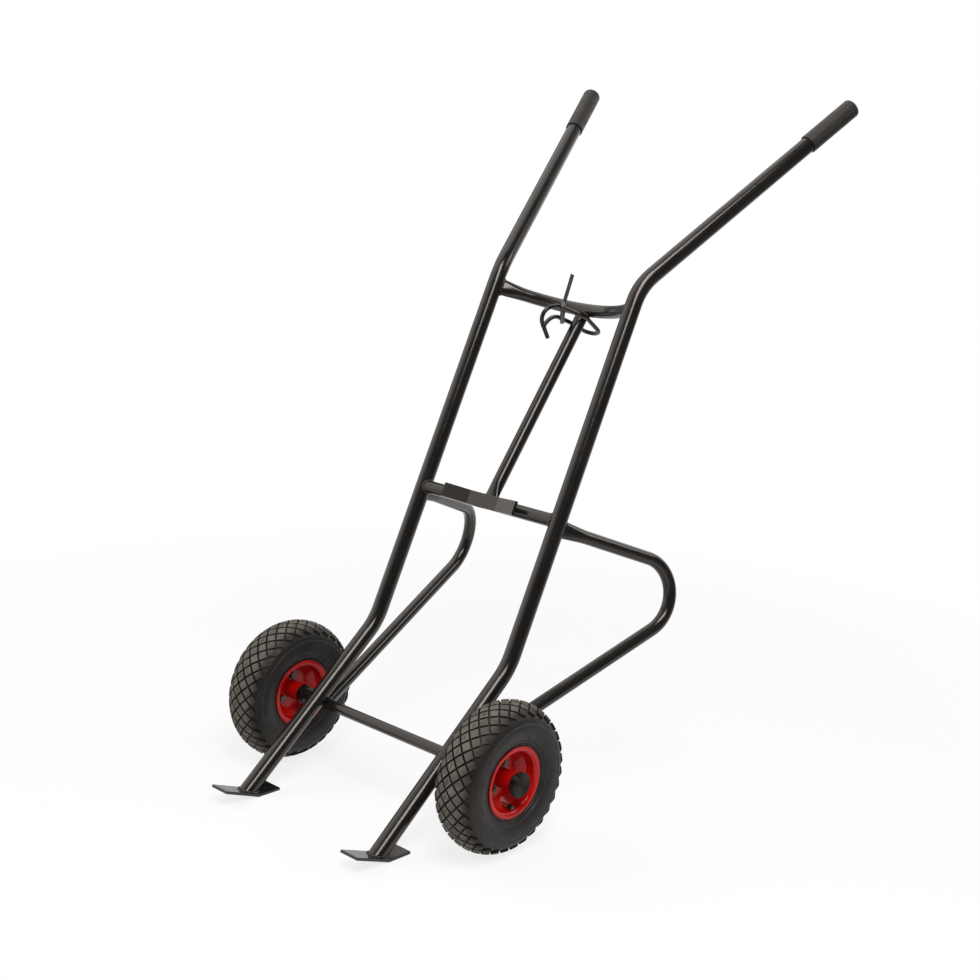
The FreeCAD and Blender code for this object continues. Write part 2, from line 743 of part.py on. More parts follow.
def inner_tube():
    """A hollow ring of rubber in the tyre, with a hole for the valve at the bottom."""
    body = doc.addObject("PartDesign::Body", "inner_tube_ring")
    sketch = new_sketch(body, "inner_tube_profile", "XZ_Plane")
    for radius in ("sizes.tube_radius", "sizes.tube_radius - sizes.tube_wall"):
        draw_circle(sketch, "0", TUBE_CENTRE, radius)
    turn = body.newObject("PartDesign::Revolution", "inner_tube_turn")
    turn.Profile = sketch
    turn.ReferenceAxis = (sketch, ["H_Axis"])
    turn.Angle = 360
    place = Placement(Vector(-size("valve_root_offset"), 0, -measure(TUBE_CENTRE)), Rotation())
    hole = cylinder("inner_tube_hole", "sizes.valve_diameter / 2 + sizes.fit_clearance",
                    "sizes.tube_radius + sizes.cut_overrun", place)
    return on_wheel(cut("right_inner_tube", body, hole))


def valve_stem():
    """A bent stem from the inner tube through the outer half of the rim."""
    root = Vector(-size("valve_root_offset"), 0, -measure(VALVE_ROOT))
    corner = Vector(root.x, 0, -size("valve_circle_radius"))
    end = Vector(size("valve_reach"), 0, corner.z)
    path = bent_path((root, corner, end), (size("valve_bend_radius"),))
    return on_wheel(swept("right_valve_stem", path, "sizes.valve_diameter / 2"))


def valve_cap():
    """A small cap over the end of the valve stem."""
    bore = "sizes.valve_diameter / 2 + sizes.fit_clearance"
    start = "-sizes.valve_cap_length"
    floor = "-sizes.valve_cap_wall"
    skin = "sizes.valve_cap_diameter / 2"
    corners = ((start, bore), (floor, bore), (floor, "0"), ("0", "0"), ("0", skin), (start, skin))
    body = revolved("right_valve_cap", corners)
    reach = size("valve_reach") + size("running_gap") + size("valve_cap_wall")
    body.Placement.Base = wheel_place.Base + Vector(reach, 0, -size("valve_circle_radius"))
    return body


RIM_FLOOR = "sizes.rim_joint_gap + sizes.rim_sheet"


def rim_half(name, has_valve):
    """One pressed half of the rim: a disc, a sloping wall, a bead seat and a rounded lip."""
    sheet_thick = "sizes.rim_sheet"
    half_sheet = "sizes.rim_sheet / 2"
    bore = "sizes.hub_diameter / 2 + sizes.fit_clearance"
    lip = "sizes.rim_lip_offset"
    lip_top = f"sizes.rim_lip_radius - {half_sheet}"
    bend_top = f"{SEAT_OUTSIDE} + sizes.rim_bend"
    bend_foot = f"{LIP_INSIDE} - sizes.rim_bend"
    corners = (("sizes.rim_joint_gap", bore), (RIM_FLOOR, bore), (RIM_FLOOR, "sizes.rim_disc_radius"),
               ("sizes.rim_well_offset", "sizes.rim_well_radius"), (bend_foot, "sizes.rim_seat_radius"),
               (lip, bend_top), (lip, lip_top), (f"{lip} - {half_sheet}", "sizes.rim_lip_radius"),
               (LIP_INSIDE, lip_top), (LIP_INSIDE, bend_top),
               (bend_foot, SEAT_OUTSIDE),
               (f"sizes.rim_well_offset - {half_sheet}", f"sizes.rim_well_radius + {sheet_thick}"),
               ("sizes.rim_joint_gap", f"sizes.rim_disc_radius + {half_sheet}"))
    arcs = {4: (f"sizes.rim_bend + {sheet_thick}", 1), 6: (half_sheet, 1), 7: (half_sheet, 1),
            9: ("sizes.rim_bend", -1)}
    body = revolved(name, corners, arcs)
    bolt_hole = new_sketch(body, f"{name}_bolt_hole", "YZ_Plane")
    draw_circle(bolt_hole, "0", "sizes.bolt_circle_radius",
                "sizes.bolt_diameter / 2 + sizes.bolt_hole_clearance")
    first = drilled(body, bolt_hole)
    pattern = body.newObject("PartDesign::PolarPattern", f"{name}_bolt_holes")
    pattern.Originals = [first]
    pattern.Axis = (body_axis(body), [""])
    pattern.Angle = 360
    pattern.setExpression("Occurrences", "sizes.bolt_count")
    body.Tip = pattern
    if has_valve:
        valve_hole = new_sketch(body, f"{name}_valve_hole", "YZ_Plane")
        draw_circle(valve_hole, "0", "-sizes.valve_circle_radius",
                    "sizes.valve_diameter / 2 + sizes.valve_hole_clearance")
        drilled(body, valve_hole)
    return body


def body_axis(body):
    """A body's own X axis."""
    return next(axis for axis in body.Origin.OriginFeatures if axis.Role == "X_Axis")


def drilled(body, sketch):
    """A hole right through a body towards its +X side."""
    hole = body.newObject("PartDesign::Pocket", f"{sketch.Name}_cut")
    hole.Profile = sketch
    hole.Type = "ThroughAll"
    hole.Reversed = True
    return hole


def hex_bar(name, height, start, angle):
    """A hexagonal prism along X on the bolt circle."""
    bar = doc.addObject("Part::Prism", name)
    bar.Polygon = 6
    bar.setExpression("Circumradius", "sizes.hex_width / (2 * cos(30))")
    bar.setExpression("Height", height)
    bar.Placement = bolt_place(start, angle)
    return bar


def bolt_place(start, angle):
    """A place on the bolt circle, at a distance along X, with its local Z along X."""
    radius = size("bolt_circle_radius")
    return Placement(Vector(start, radius * sin(angle), radius * cos(angle)), Rotation(UP, ACROSS))


def rim_fasteners():
    """The bolts and nuts that hold the halves of the right rim together, each group as one node."""
    face = measure(RIM_FLOOR)
    bolts = []
    nuts = []
    for index in range(int(size("bolt_count"))):
        angle = 2 * index * pi / size("bolt_count")
        head_start = -face - size("bolt_head_height")
        head = hex_bar(f"bolt_head_{index}", "sizes.bolt_head_height", head_start, angle)
        length = f"2 * ({RIM_FLOOR}) + sizes.nut_height + sizes.bolt_end"
        shank = cylinder(f"bolt_shank_{index}", "sizes.bolt_diameter / 2", length, bolt_place(-face, angle))
        bolts.append(fused(f"bolt_{index}", [head, shank]))
        blank = hex_bar(f"nut_blank_{index}", "sizes.nut_height", face, angle)
        bore = cylinder(f"nut_bore_{index}", "sizes.bolt_diameter / 2 + sizes.fit_clearance",
                        "sizes.nut_height", bolt_place(face, angle))
        nuts.append(cut(f"nut_{index}", blank, bore))
    groups = []
    for name, pieces in (("right_rim_bolts", bolts), ("right_rim_nuts", nuts)):
        group = doc.addObject("Part::Compound", name)
        group.Links = pieces
        groups.append(on_wheel(group))
    return groups


def hub():
    """A steel tube through both halves of the rim."""
    end = f"{HUB_END} - sizes.bush_flange_thickness"
    return on_wheel(ring("right_hub", f"-({end})", end, "sizes.hub_bore / 2", "sizes.hub_diameter / 2"))


def bush(name, turn):
    """A flanged plain bearing in one end of the hub."""
    bore = f"{AXLE_SKIN} + sizes.bearing_clearance"
    body_skin = "sizes.hub_bore / 2 - sizes.fit_clearance"
    flange = f"{HUB_END} - sizes.bush_flange_thickness"
    root = f"{HUB_END} - sizes.bush_length"
    rim = "sizes.bush_flange_diameter / 2"
    corners = ((root, bore), (HUB_END, bore), (HUB_END, rim), (flange, rim), (flange, body_skin),
               (root, body_skin))
    return on_wheel(revolved(name, corners), turn)


def hook_point(shares):
    """A corner of the hook's rod from its shares, in the trolley's frame."""
    width, reach, fall = shares
    half_width = brace_radius + size("hook_clearance") + size("hook_rod_diameter") / 2
    start = crossbar_middle - centre_way * size("hook_drop")
    return (start + ACROSS * width * half_width + centre_front * reach * size("hook_reach")
            + centre_way * fall * size("hook_fall"))


def drum_hook():
    """A rod bent round the centre tube to a hook in front of it, with its end joined to the front leg."""
    main = [hook_point(shares) for shares in HOOK_FRONT_SHARES + HOOK_BACK_SHARES]
    far = [hook_point(shares) for shares in HOOK_FAR_SHARES]
    bends = [size(f"hook_{name}_radius") for name in ("nose", "crest", "leg", "back", "back")]
    rod = "sizes.hook_rod_diameter / 2"
    front = swept("hook_front", bent_path(main, bends), rod)
    branch = swept("hook_branch", bent_path(far, (size("hook_leg_radius"), size("hook_foot_radius"))), rod)
    return fused("drum_hook", [front, branch])


def cable_tie():
    """A tie round the hook's two legs, with its head on top and its tail standing up."""
    crest, leg = (hook_point(shares) for shares in HOOK_FRONT_SHARES[2:4])
    far_leg, far_foot = (hook_point(shares) for shares in HOOK_FAR_SHARES[:2])
    near_place = crest + (leg - crest) * TIE_FRONT_SHARE
    far_place = far_leg + (far_foot - far_leg) * TIE_FAR_SHARE
    legs = (leg - crest).normalize() + (far_leg - far_foot).normalize()
    between = near_place - far_place
    level = Vector(between).normalize()
    place = facing((near_place + far_place) * 0.5, legs - level * legs.dot(level), between)
    spread = between.Length / 2 + size("tie_overhang")
    inside = size("hook_rod_diameter") / 2 + size("tie_clearance")
    band = doc.addObject("Part::Feature", "tie_band")
    band.Shape = stadium(spread, inside + size("tie_thickness")).cut(stadium(spread, inside))
    band.Placement = place
    head_seat = Vector(spread + inside, -size("tie_head_length") / 2, -size("tie_width") / 2)
    head = box("tie_head", "sizes.tie_head_height", "sizes.tie_head_length", "sizes.tie_width",
               Placement(place.multVec(head_seat), place.Rotation))
    tail_seat = place.multVec(Vector(spread + inside + size("tie_head_height") / 2, 0, 0))
    tilt = Rotation(Vector(0, 1, 0), size("tie_tail_lean"))
    tail = box("tie_tail", "sizes.tie_width", "sizes.tie_thickness", "sizes.tie_tail_length",
               Placement(tail_seat - tilt.multVec(ACROSS) * size("tie_width") / 2, tilt))
    return fused("cable_tie", [band, head, tail])


def stadium(half_length, radius):
    """A block of the tie's width with round ends, about the origin."""
    places = (Vector(-half_length, radius, 0), Vector(-half_length - radius, 0, 0),
              Vector(-half_length, -radius, 0), Vector(half_length, -radius, 0),
              Vector(half_length + radius, 0, 0), Vector(half_length, radius, 0))
    edges = [Part.Arc(*places[:3]).toShape(), Part.LineSegment(places[2], places[3]).toShape(),
             Part.Arc(*places[3:]).toShape(), Part.LineSegment(places[5], places[0]).toShape()]
    block = Part.Face(Part.Wire(edges)).extrude(UP * size("tie_width"))
    block.translate(UP * -size("tie_width") / 2)
    return block


middle_pieces = [upper_crossbar(), middle_crossbar(), centre_tube(), drum_saddle(), axle(), drum_hook(),
                 cable_tie()]
for piece in middle_pieces:
    node(piece)
right_pieces = [side_rail(), grip(), toe_strip(), rear_loop(), *wheel_holders(), tyre(), inner_tube(),
                valve_stem(), valve_cap(), on_wheel(rim_half("right_rim_outer", True)),
                on_wheel(rim_half("right_rim_inner", False), 180), *rim_fasteners(), hub(),
                bush("right_bush_outer", 0), bush("right_bush_inner", 180)]
for piece in right_pieces:
    node(piece)
    node(mirrored(piece.Name.replace("right", "left", 1), piece))
doc.recompute()

failed = [item.Name for item in doc.Objects if {"Invalid", "Error"} & set(item.State)]
empty = [piece.Label for piece in nodes if piece.Shape.isNull() or not piece.Shape.isValid()]
if failed or empty:
    raise RuntimeError(f"not built: {failed} {empty}")
os.makedirs("parts", exist_ok=True)
for piece in nodes:
    piece.Shape.exportStep(f"parts/{piece.Label}.step")
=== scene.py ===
import math

import bmesh
import bpy
from mathutils import Matrix, Vector


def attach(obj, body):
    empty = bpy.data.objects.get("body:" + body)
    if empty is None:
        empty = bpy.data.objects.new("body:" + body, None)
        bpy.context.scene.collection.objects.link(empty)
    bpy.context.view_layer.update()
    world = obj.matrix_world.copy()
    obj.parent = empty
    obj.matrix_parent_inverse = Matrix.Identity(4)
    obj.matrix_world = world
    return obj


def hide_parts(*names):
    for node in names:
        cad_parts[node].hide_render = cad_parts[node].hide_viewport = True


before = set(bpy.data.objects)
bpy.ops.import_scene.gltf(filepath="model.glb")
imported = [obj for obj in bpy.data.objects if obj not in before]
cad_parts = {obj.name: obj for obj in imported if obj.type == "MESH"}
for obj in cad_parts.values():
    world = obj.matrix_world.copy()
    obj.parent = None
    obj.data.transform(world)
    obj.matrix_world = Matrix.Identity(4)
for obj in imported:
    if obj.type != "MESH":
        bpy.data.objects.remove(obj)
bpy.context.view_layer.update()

# Sizes in metres, in the frame's axes: X across, Y back to the handles, Z up
MM = 0.001
SIDES = {"left": -1, "right": 1}
WHEEL_X = 263.3 * MM
AXLE = Vector((0, -289.457 * MM, 130 * MM))
TYRE_RADIUS = 130 * MM
TAU = 2 * math.pi


# Materials

# Where noise has most of its values, which a drift spreads between its two ends
NOISE_RANGE = (0.3, 0.7)
# The shine on black surfaces is slightly warm
WARM = (1.0, 0.9, 0.82, 1.0)
# How far the roughness of moulded and of plated surfaces drifts
MOULDED_DRIFT = 0.08
PLATED_DRIFT = 0.1
# The mix node's sockets for its two numbers, and for its two colours and their result
MIX_NUMBERS = (2, 3)
MIX_COLOURS = (6, 7)
MIX_COLOUR_RESULT = 2


def set_sockets(node, values):
    """Sets a node's sockets by their names, with _ for a space."""
    for socket, value in values.items():
        node.inputs[socket.replace("_", " ")].default_value = value


def add(tree, kind, **values):
    """A new shader node with some of its sockets set."""
    node = tree.nodes.new(kind)
    set_sockets(node, values)
    return node


def feed(tree, value, socket):
    """Gives a socket a number, or links another socket to it."""
    if isinstance(value, (int, float)):
        socket.default_value = value
    else:
        tree.links.new(value, socket)


def new_material(name, **values):
    """A material with a principled shader, its node tree and the shader."""
    material = bpy.data.materials.new(name)
    material.use_nodes = True
    shader = material.node_tree.nodes["Principled BSDF"]
    set_sockets(shader, values)
    return material, material.node_tree, shader


def place(tree):
    """Coordinates on the object, in metres."""
    return add(tree, "ShaderNodeTexCoord").outputs["Object"]


def noise(tree, spots, detail):
    """Soft noise over the object, a number of spots to the metre."""
    node = add(tree, "ShaderNodeTexNoise", Scale=spots, Detail=detail)
    tree.links.new(place(tree), node.inputs["Vector"])
    return node.outputs["Fac"]


def ramp(tree, factor, stops):
    """Colours along a factor, as (position, grey or colour) stops."""
    node = add(tree, "ShaderNodeValToRGB")
    elements = node.color_ramp.elements
    while len(elements) < len(stops):
        elements.new(0.5)
    for element, (position, colour) in zip(elements, stops):
        element.position = position
        element.color = (*colour, 1) if isinstance(colour, tuple) else (colour, colour, colour, 1)
    tree.links.new(factor, node.inputs["Fac"])
    return node.outputs["Color"]


def spread(tree, factor, low, high, ends=NOISE_RANGE):
    """A range of a factor spread between two numbers."""
    node = add(tree, "ShaderNodeMapRange")
    for index, value in enumerate((*ends, low, high), 1):
        node.inputs[index].default_value = value
    tree.links.new(factor, node.inputs[0])
    return node.outputs[0]


def combined(tree, operation, first, second):
    """Two numbers put together, the second one a socket or a constant."""
    node = add(tree, "ShaderNodeMath")
    node.operation = operation
    tree.links.new(first, node.inputs[0])
    feed(tree, second, node.inputs[1])
    return node.outputs[0]


def blended(tree, share, first, second):
    """A number between two others, each a socket or a constant."""
    node = add(tree, "ShaderNodeMix")
    tree.links.new(share, node.inputs[0])
    for value, index in zip((first, second), MIX_NUMBERS):
        feed(tree, value, node.inputs[index])
    return node.outputs[0]


def vector_math(tree, operation, first, second=(0, 0, 0)):
    """A vector operation on a socket and a fixed vector."""
    node = add(tree, "ShaderNodeVectorMath")
    node.operation = operation
    tree.links.new(first, node.inputs[0])
    node.inputs[1].default_value = second
    return node.outputs


def surface(name, colour, roughness, *layers, **values):
    """A material whose colour and roughness drift between two values, with layers of fine relief.

    A drift is (spots to the metre, detail, low, high), a layer (spots, detail, strength, depth in metres).
    """
    material, tree, shader = new_material(name, **values)
    spots, detail, low, high = colour
    stops = tuple(zip(NOISE_RANGE, (low, high)))
    tree.links.new(ramp(tree, noise(tree, spots, detail), stops), shader.inputs["Base Color"])
    spots, detail, low, high = roughness
    tree.links.new(spread(tree, noise(tree, spots, detail), low, high), shader.inputs["Roughness"])
    normal = None
    for spots, detail, strength, depth in layers:
        node = add(tree, "ShaderNodeBump", Strength=strength, Distance=depth)
        tree.links.new(noise(tree, spots, detail), node.inputs["Height"])
        if normal:
            tree.links.new(normal, node.inputs["Normal"])
        normal = node.outputs["Normal"]
    tree.links.new(normal, shader.inputs["Normal"])
    return material


def black_paint():
    """Stoved gloss black on tube: a faint orange peel and soft changes of gloss."""
    return surface("black_paint", (14, 3, (0.0080, 0.0074, 0.0068), (0.0130, 0.0120, 0.0110)),
                   (45, 3, 0.14, 0.2), (260, 2, 0.012, 0.0004), (40, 2, 0.03, 0.001), Specular_Tint=WARM)


def red_paint():
    """Gloss red on pressed sheet."""
    return surface("red_paint", (25, 3, (0.36, 0.0028, 0.0023), (0.43, 0.0045, 0.0040)),
                   (60, 3, 0.15, 0.22), (380, 2, 0.02, 0.0005), (50, 2, 0.06, 0.001), Specular_IOR_Level=0.24)


def matt(name, low, high, roughness, grain, depth):
    """A moulded surface with a fine grain."""
    return surface(name, (30, 5, low, high), (120, 3, roughness - MOULDED_DRIFT, roughness + MOULDED_DRIFT),
                   (grain, 3, 0.35, depth), Specular_Tint=WARM)


def plated(name, low, high, roughness):
    """Plated or turned metal, slightly clouded, with a fine grain."""
    return surface(name, (80, 4, low, high), (300, 4, roughness - PLATED_DRIFT, roughness + PLATED_DRIFT),
                   (1500, 2, 0.15, 0.0002), Metallic=1.0)


def rubber(name, low, high, painted_shades, roughness):
    """Tyre rubber: mottled, with a fine grain, and darkened by painted shade that follows the distance from the
    axle.
    """
    material = surface(name, (60, 5, low, high), (150, 3, roughness - MOULDED_DRIFT, roughness + MOULDED_DRIFT),
                       (700, 3, 0.25, 0.0003), Specular_IOR_Level=0.3, Specular_Tint=WARM)
    tree = material.node_tree
    # Painted shade: the base colour is multiplied by a ramp that darkens it over the distance from the axle
    offset = vector_math(tree, "SUBTRACT", place(tree), AXLE)
    flat = vector_math(tree, "MULTIPLY", offset[0], (0, 1 / TYRE_RADIUS, 1 / TYRE_RADIUS))
    from_axle = vector_math(tree, "LENGTH", flat[0])["Value"]
    base = tree.nodes["Principled BSDF"].inputs["Base Color"]
    colours = (base.links[0].from_socket, ramp(tree, from_axle, painted_shades))
    painted_shade = add(tree, "ShaderNodeMix", Factor=1.0)
    painted_shade.data_type = "RGBA"
    painted_shade.blend_type = "MULTIPLY"
    for colour, index in zip(colours, MIX_COLOURS):
        tree.links.new(colour, painted_shade.inputs[index])
    tree.links.new(painted_shade.outputs[MIX_COLOUR_RESULT], base)
    return material


def turned_plastic():
    """Black plastic with a turned face, which spreads its shine round the middle."""
    material = surface("turned_plastic", (90, 4, (0.006, 0.0055, 0.005), (0.011, 0.010, 0.009)),
                       (200, 3, 0.42, 0.5), (500, 2, 0.03, 0.0002), Anisotropic=1.0, Anisotropic_Rotation=0.25,
                       Specular_IOR_Level=0.25, Specular_Tint=WARM)
    tree = material.node_tree
    tangent = add(tree, "ShaderNodeTangent")
    tangent.direction_type = "RADIAL"
    tangent.axis = "X"
    tree.links.new(tangent.outputs[0], tree.nodes["Principled BSDF"].inputs["Tangent"])
    return material


# Moulded surfaces: two colours, the roughness, and the grain's spots to the metre and depth in metres
MATT = {
    "grip_vinyl": ((0.010, 0.0092, 0.0085), (0.016, 0.0148, 0.0138), 0.5, 1400, 0.00006),
    "tube_rubber": ((0.012, 0.012, 0.012), (0.022, 0.022, 0.022), 0.5, 500, 0.0003),
    "tyre_rubber": ((0.040, 0.037, 0.034), (0.060, 0.056, 0.052), 0.75, 700, 0.0004),
    "black_plastic": ((0.009, 0.009, 0.009), (0.015, 0.014, 0.014), 0.42, 800, 0.0002),
}
# Metal: two colours and the roughness
PLATED = {
    "zinc_steel": ((0.048, 0.042, 0.037), (0.085, 0.076, 0.068), 0.34),
    "valve_brass": ((0.55, 0.42, 0.18), (0.68, 0.54, 0.26), 0.3),
}
MATERIALS = {"black_paint": black_paint(), "red_paint": red_paint()}
MATERIALS.update({name: matt(name, *values) for name, values in MATT.items()})
MATERIALS.update({name: plated(name, *values) for name, values in PLATED.items()})

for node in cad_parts.values():
    slot = node.data.materials[0].name.split(".")[0]
    node.data.materials[0] = MATERIALS[slot]
cap_face = turned_plastic()
for side in SIDES:
    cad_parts[f"{side}_hub_cap"].data.materials[0] = cap_face


# Pieces built here

# Angles in degrees: where a piece's shading breaks, and for a softened copy which faces count
# as one plane, which edges are broken and where its shading breaks
CREASE = 35
FLAT_ANGLE = 0.5
EDGE_ANGLE = 30
SOFT_CREASE = 12
# Points of a softened copy that are closer than this, in metres, are one
MERGE_DISTANCE = 1e-6
BEVEL_SEGMENTS = 2
# How far edges are broken on the toe strips, the nuts and bolts, the saddle and the tie
STRIP_BREAK = 0.6 * MM
FASTENER_BREAK = 0.5 * MM
SADDLE_BREAK = 0.7 * MM
TIE_BREAK = 0.25 * MM


def shown(name, mesh, body, stands_for, crease):
    """Links a mesh as a piece of the object."""
    mesh.polygons.foreach_set("use_smooth", [True] * len(mesh.polygons))
    mesh.set_sharp_from_angle(angle=math.radians(crease))
    item = bpy.data.objects.new(name, mesh)
    bpy.context.scene.collection.objects.link(item)
    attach(item, body)
    if stands_for:
        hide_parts(*stands_for)


def piece(name, vertices, faces, body, materials, face_materials=None, stands_for=(), crease=CREASE):
    """A mesh piece that rides on a body, smooth except at creases."""
    mesh = bpy.data.meshes.new(name)
    mesh.from_pydata([tuple(v) for v in vertices], [], faces)
    for material in materials:
        mesh.materials.append(material)
    if face_materials:
        mesh.polygons.foreach_set("material_index", face_materials)
    work = bmesh.new()
    work.from_mesh(mesh)
    bmesh.ops.recalc_face_normals(work, faces=work.faces)
    work.to_mesh(mesh)
    work.free()
    shown(name, mesh, body, stands_for, crease)


def softened(node, offset, body, slot):
    """A copy of a CAD node with its sharp edges broken."""
    work = bmesh.new()
    work.from_mesh(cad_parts[node].data)
    bmesh.ops.remove_doubles(work, verts=work.verts, dist=MERGE_DISTANCE)
    bmesh.ops.dissolve_limit(work, angle_limit=math.radians(FLAT_ANGLE), verts=work.verts, edges=work.edges)
    sharp = [edge for edge in work.edges
             if len(edge.link_faces) == 2 and edge.calc_face_angle() > math.radians(EDGE_ANGLE)]
    bmesh.ops.bevel(work, geom=sharp, offset=offset, segments=BEVEL_SEGMENTS, profile=0.5, affect="EDGES",
                    clamp_overlap=True)
    mesh = bpy.data.meshes.new(f"{node}_soft")
    work.to_mesh(mesh)
    work.free()
    # The node's own shading doesn't fit the new faces
    for carried in ("custom_normal", "sharp_edge", "sharp_face"):
        if carried in mesh.attributes:
            mesh.attributes.remove(mesh.attributes[carried])
    mesh.materials.append(MATERIALS[slot])
    shown(f"{node}_soft", mesh, body, (node,), SOFT_CREASE)


def ring_faces(rings, sides, closed=False):
    """Faces between rings of points that follow each other, joined up if closed."""
    faces = []
    for ring in range(rings if closed else rings - 1):
        base = ring * sides
        after = (ring + 1) % rings * sides
        for corner in range(sides):
            ahead = (corner + 1) % sides
            faces.append((base + corner, base + ahead, after + ahead, after + corner))
    return faces


def end_faces(rings, sides):
    """The faces that fill the first and the last ring."""
    last = (rings - 1) * sides
    return [tuple(range(sides)), tuple(range(last, last + sides))]


def oval(centre, first, second, reaches, count):
    """Points round an oval, by its two directions and its reach along each."""
    points = []
    for step in range(count):
        angle = TAU * step / count
        points.append(centre + first * (reaches[0] * math.cos(angle)) + second * (reaches[1] * math.sin(angle)))
    return points


def joined(vertices, faces, more_vertices, more_faces):
    """Adds one mesh's vertices and faces to another's."""
    base = len(vertices)
    vertices += more_vertices
    faces += [tuple(base + index for index in face) for face in more_faces]


def on_wheel(vertices, side):
    """Points from the wheel's own frame, mirrored for the left wheel."""
    return [Vector((side * (WHEEL_X + v.x), AXLE.y + v.y, AXLE.z + v.z)) for v in vertices]


# Tyre: a carcass with moulded rings on its sidewalls, and diamond blocks

CROWN_RADIUS = 55 * MM
CROWN_CENTRE = 75 * MM
TREAD_DEPTH = 3.5 * MM
CARCASS_RADIUS = CROWN_RADIUS - TREAD_DEPTH
TREAD_EDGE = math.radians(47)
TREAD_COUNT = 32
TREAD_STEP = 11.1 * MM
TREAD_GROOVE = 2.6 * MM
TREAD_ROWS = range(-3, 4)
# Each side of a block is stepped, by a share of the block's reach
SIDE_STEPS = 6
SIDE_STEP_DEPTH = 0.07
# How far a block's section stands out from its top, and at which height over the crown
BLOCK_SECTION = ((-0.75 * MM, 0), (-0.2 * MM, -0.25 * MM), (0, -0.8 * MM),
                 (0.8 * MM, -TREAD_DEPTH - 1.2 * MM))
# The half width, half length and depth of a sipe
SIPE = (0.6 * MM, 4 * MM, 1.6 * MM)
SIDEWALL_RADIUS = 40 * MM
# The bead: how far out its side is, its radii at the top and the foot, its width and its corner
BEAD_SIDE = 31.2 * MM
BEAD_TOP = 65.3 * MM
BEAD_FOOT = 53.3 * MM
BEAD_WIDTH = 7 * MM
BEAD_CORNER = 6 * MM
# The lining is part of an oval, up to an angle in radians each way from its top
LINING_CENTRE = 81 * MM
LINING_HALF_WIDTH = 33.48 * MM
LINING_HEIGHT = 39.2 * MM
LINING_ANGLE = 1.9
# Rings on the sidewall, as shares of its height, with their height and half width
SIDEWALL_RINGS = ((0.08, 0.8 * MM, 0.03), (0.20, 1.1 * MM, 0.022), (0.80, 0.9 * MM, 0.016))
TYRE_STEPS = 192
SIDEWALL_STEPS = 60
CROWN_STEPS = 12
LINING_STEPS = 6
TYRE_CREASE = 30
# Places in the tyre's list of materials
TOP, GROOVE, SIDEWALL = range(3)
# Painted shade by the distance from the axle, as a share of the tyre's radius: block tops darken towards the
# shoulder, and groove rubber and the sidewall darken further out
TOP_PAINTED_SHADE = ((0.88, 0.16), (0.925, 0.34), (0.955, 0.72), (0.975, 0.92), (1.0, 1.0))
OUTWARD_PAINTED_SHADE = ((0.80, 1.0), (0.88, 0.6), (0.95, 0.5))
# Dusty block tops, dark groove rubber and a smoother sidewall, each darkened by its painted shade
TYRE_MATERIALS = [
    rubber("tread_top", (0.076, 0.066, 0.055), (0.150, 0.134, 0.116), TOP_PAINTED_SHADE, 0.8),
    rubber("tread_groove", (0.010, 0.0085, 0.007), (0.016, 0.0135, 0.011), OUTWARD_PAINTED_SHADE, 0.85),
    rubber("tyre_sidewall", (0.0115, 0.0108, 0.0103), (0.0185, 0.0175, 0.0168), OUTWARD_PAINTED_SHADE, 0.5),
]


def lathe(profile, count):
    """A closed outline of (distance along X, radius) points turned round the X axis."""
    vertices = []
    for step in range(count):
        angle = TAU * step / count
        for across, radius in profile:
            vertices.append(Vector((across, radius * math.sin(angle), radius * math.cos(angle))))
    return vertices, ring_faces(count, len(profile), closed=True)


def sidewall():
    """The outside of a sidewall from the bead to the edge of the tread."""
    start = Vector((BEAD_SIDE, BEAD_TOP))
    end = Vector((CARCASS_RADIUS * math.sin(TREAD_EDGE), CROWN_CENTRE + CARCASS_RADIUS * math.cos(TREAD_EDGE)))
    chord = end - start
    outward = Vector((chord.y, -chord.x)).normalized()
    sunk = math.sqrt(SIDEWALL_RADIUS ** 2 - (chord.length / 2) ** 2)
    centre = (start + end) / 2 - outward * sunk
    first = math.atan2(start.y - centre.y, start.x - centre.x)
    last = math.atan2(end.y - centre.y, end.x - centre.x)
    points = []
    for index in range(SIDEWALL_STEPS + 1):
        share = index / SIDEWALL_STEPS
        angle = first + (last - first) * share
        radius = SIDEWALL_RADIUS
        for middle, height, half in SIDEWALL_RINGS:
            radius += height * math.exp(-((share - middle) / half) ** 2)
        points.append((centre.x + radius * math.cos(angle), centre.y + radius * math.sin(angle)))
    return points


def carcass_outline():
    """The carcass's section, from one bead over the crown to the other and back along the lining."""
    half = [(BEAD_SIDE - BEAD_WIDTH, BEAD_FOOT), (BEAD_SIDE - BEAD_CORNER, BEAD_FOOT),
            (BEAD_SIDE, BEAD_FOOT + BEAD_CORNER)]
    half += sidewall()
    for index in range(1, CROWN_STEPS):
        angle = TREAD_EDGE * (1 - index / CROWN_STEPS)
        half.append((CARCASS_RADIUS * math.sin(angle), CROWN_CENTRE + CARCASS_RADIUS * math.cos(angle)))
    over = half + [(0, CROWN_CENTRE + CARCASS_RADIUS)] + [(-across, radius) for across, radius in reversed(half)]
    lining = []
    for index in range(-LINING_STEPS, LINING_STEPS + 1):
        angle = LINING_ANGLE * index / LINING_STEPS
        lining.append((LINING_HALF_WIDTH * math.sin(angle), LINING_CENTRE + LINING_HEIGHT * math.cos(angle)))
    return over + lining


def tread_point(row, along, over, height):
    """A point along and across the tread from the middle of a row's block, at a height over the crown."""
    tilt = (row * TREAD_STEP + over) / CROWN_RADIUS
    middle = row * TREAD_STEP / CROWN_RADIUS
    turn = along / (CROWN_CENTRE + CROWN_RADIUS * math.cos(middle))
    reach = CROWN_RADIUS + height
    radius = CROWN_CENTRE + reach * math.cos(tilt)
    return Vector((reach * math.sin(tilt), radius * math.sin(turn), radius * math.cos(turn)))


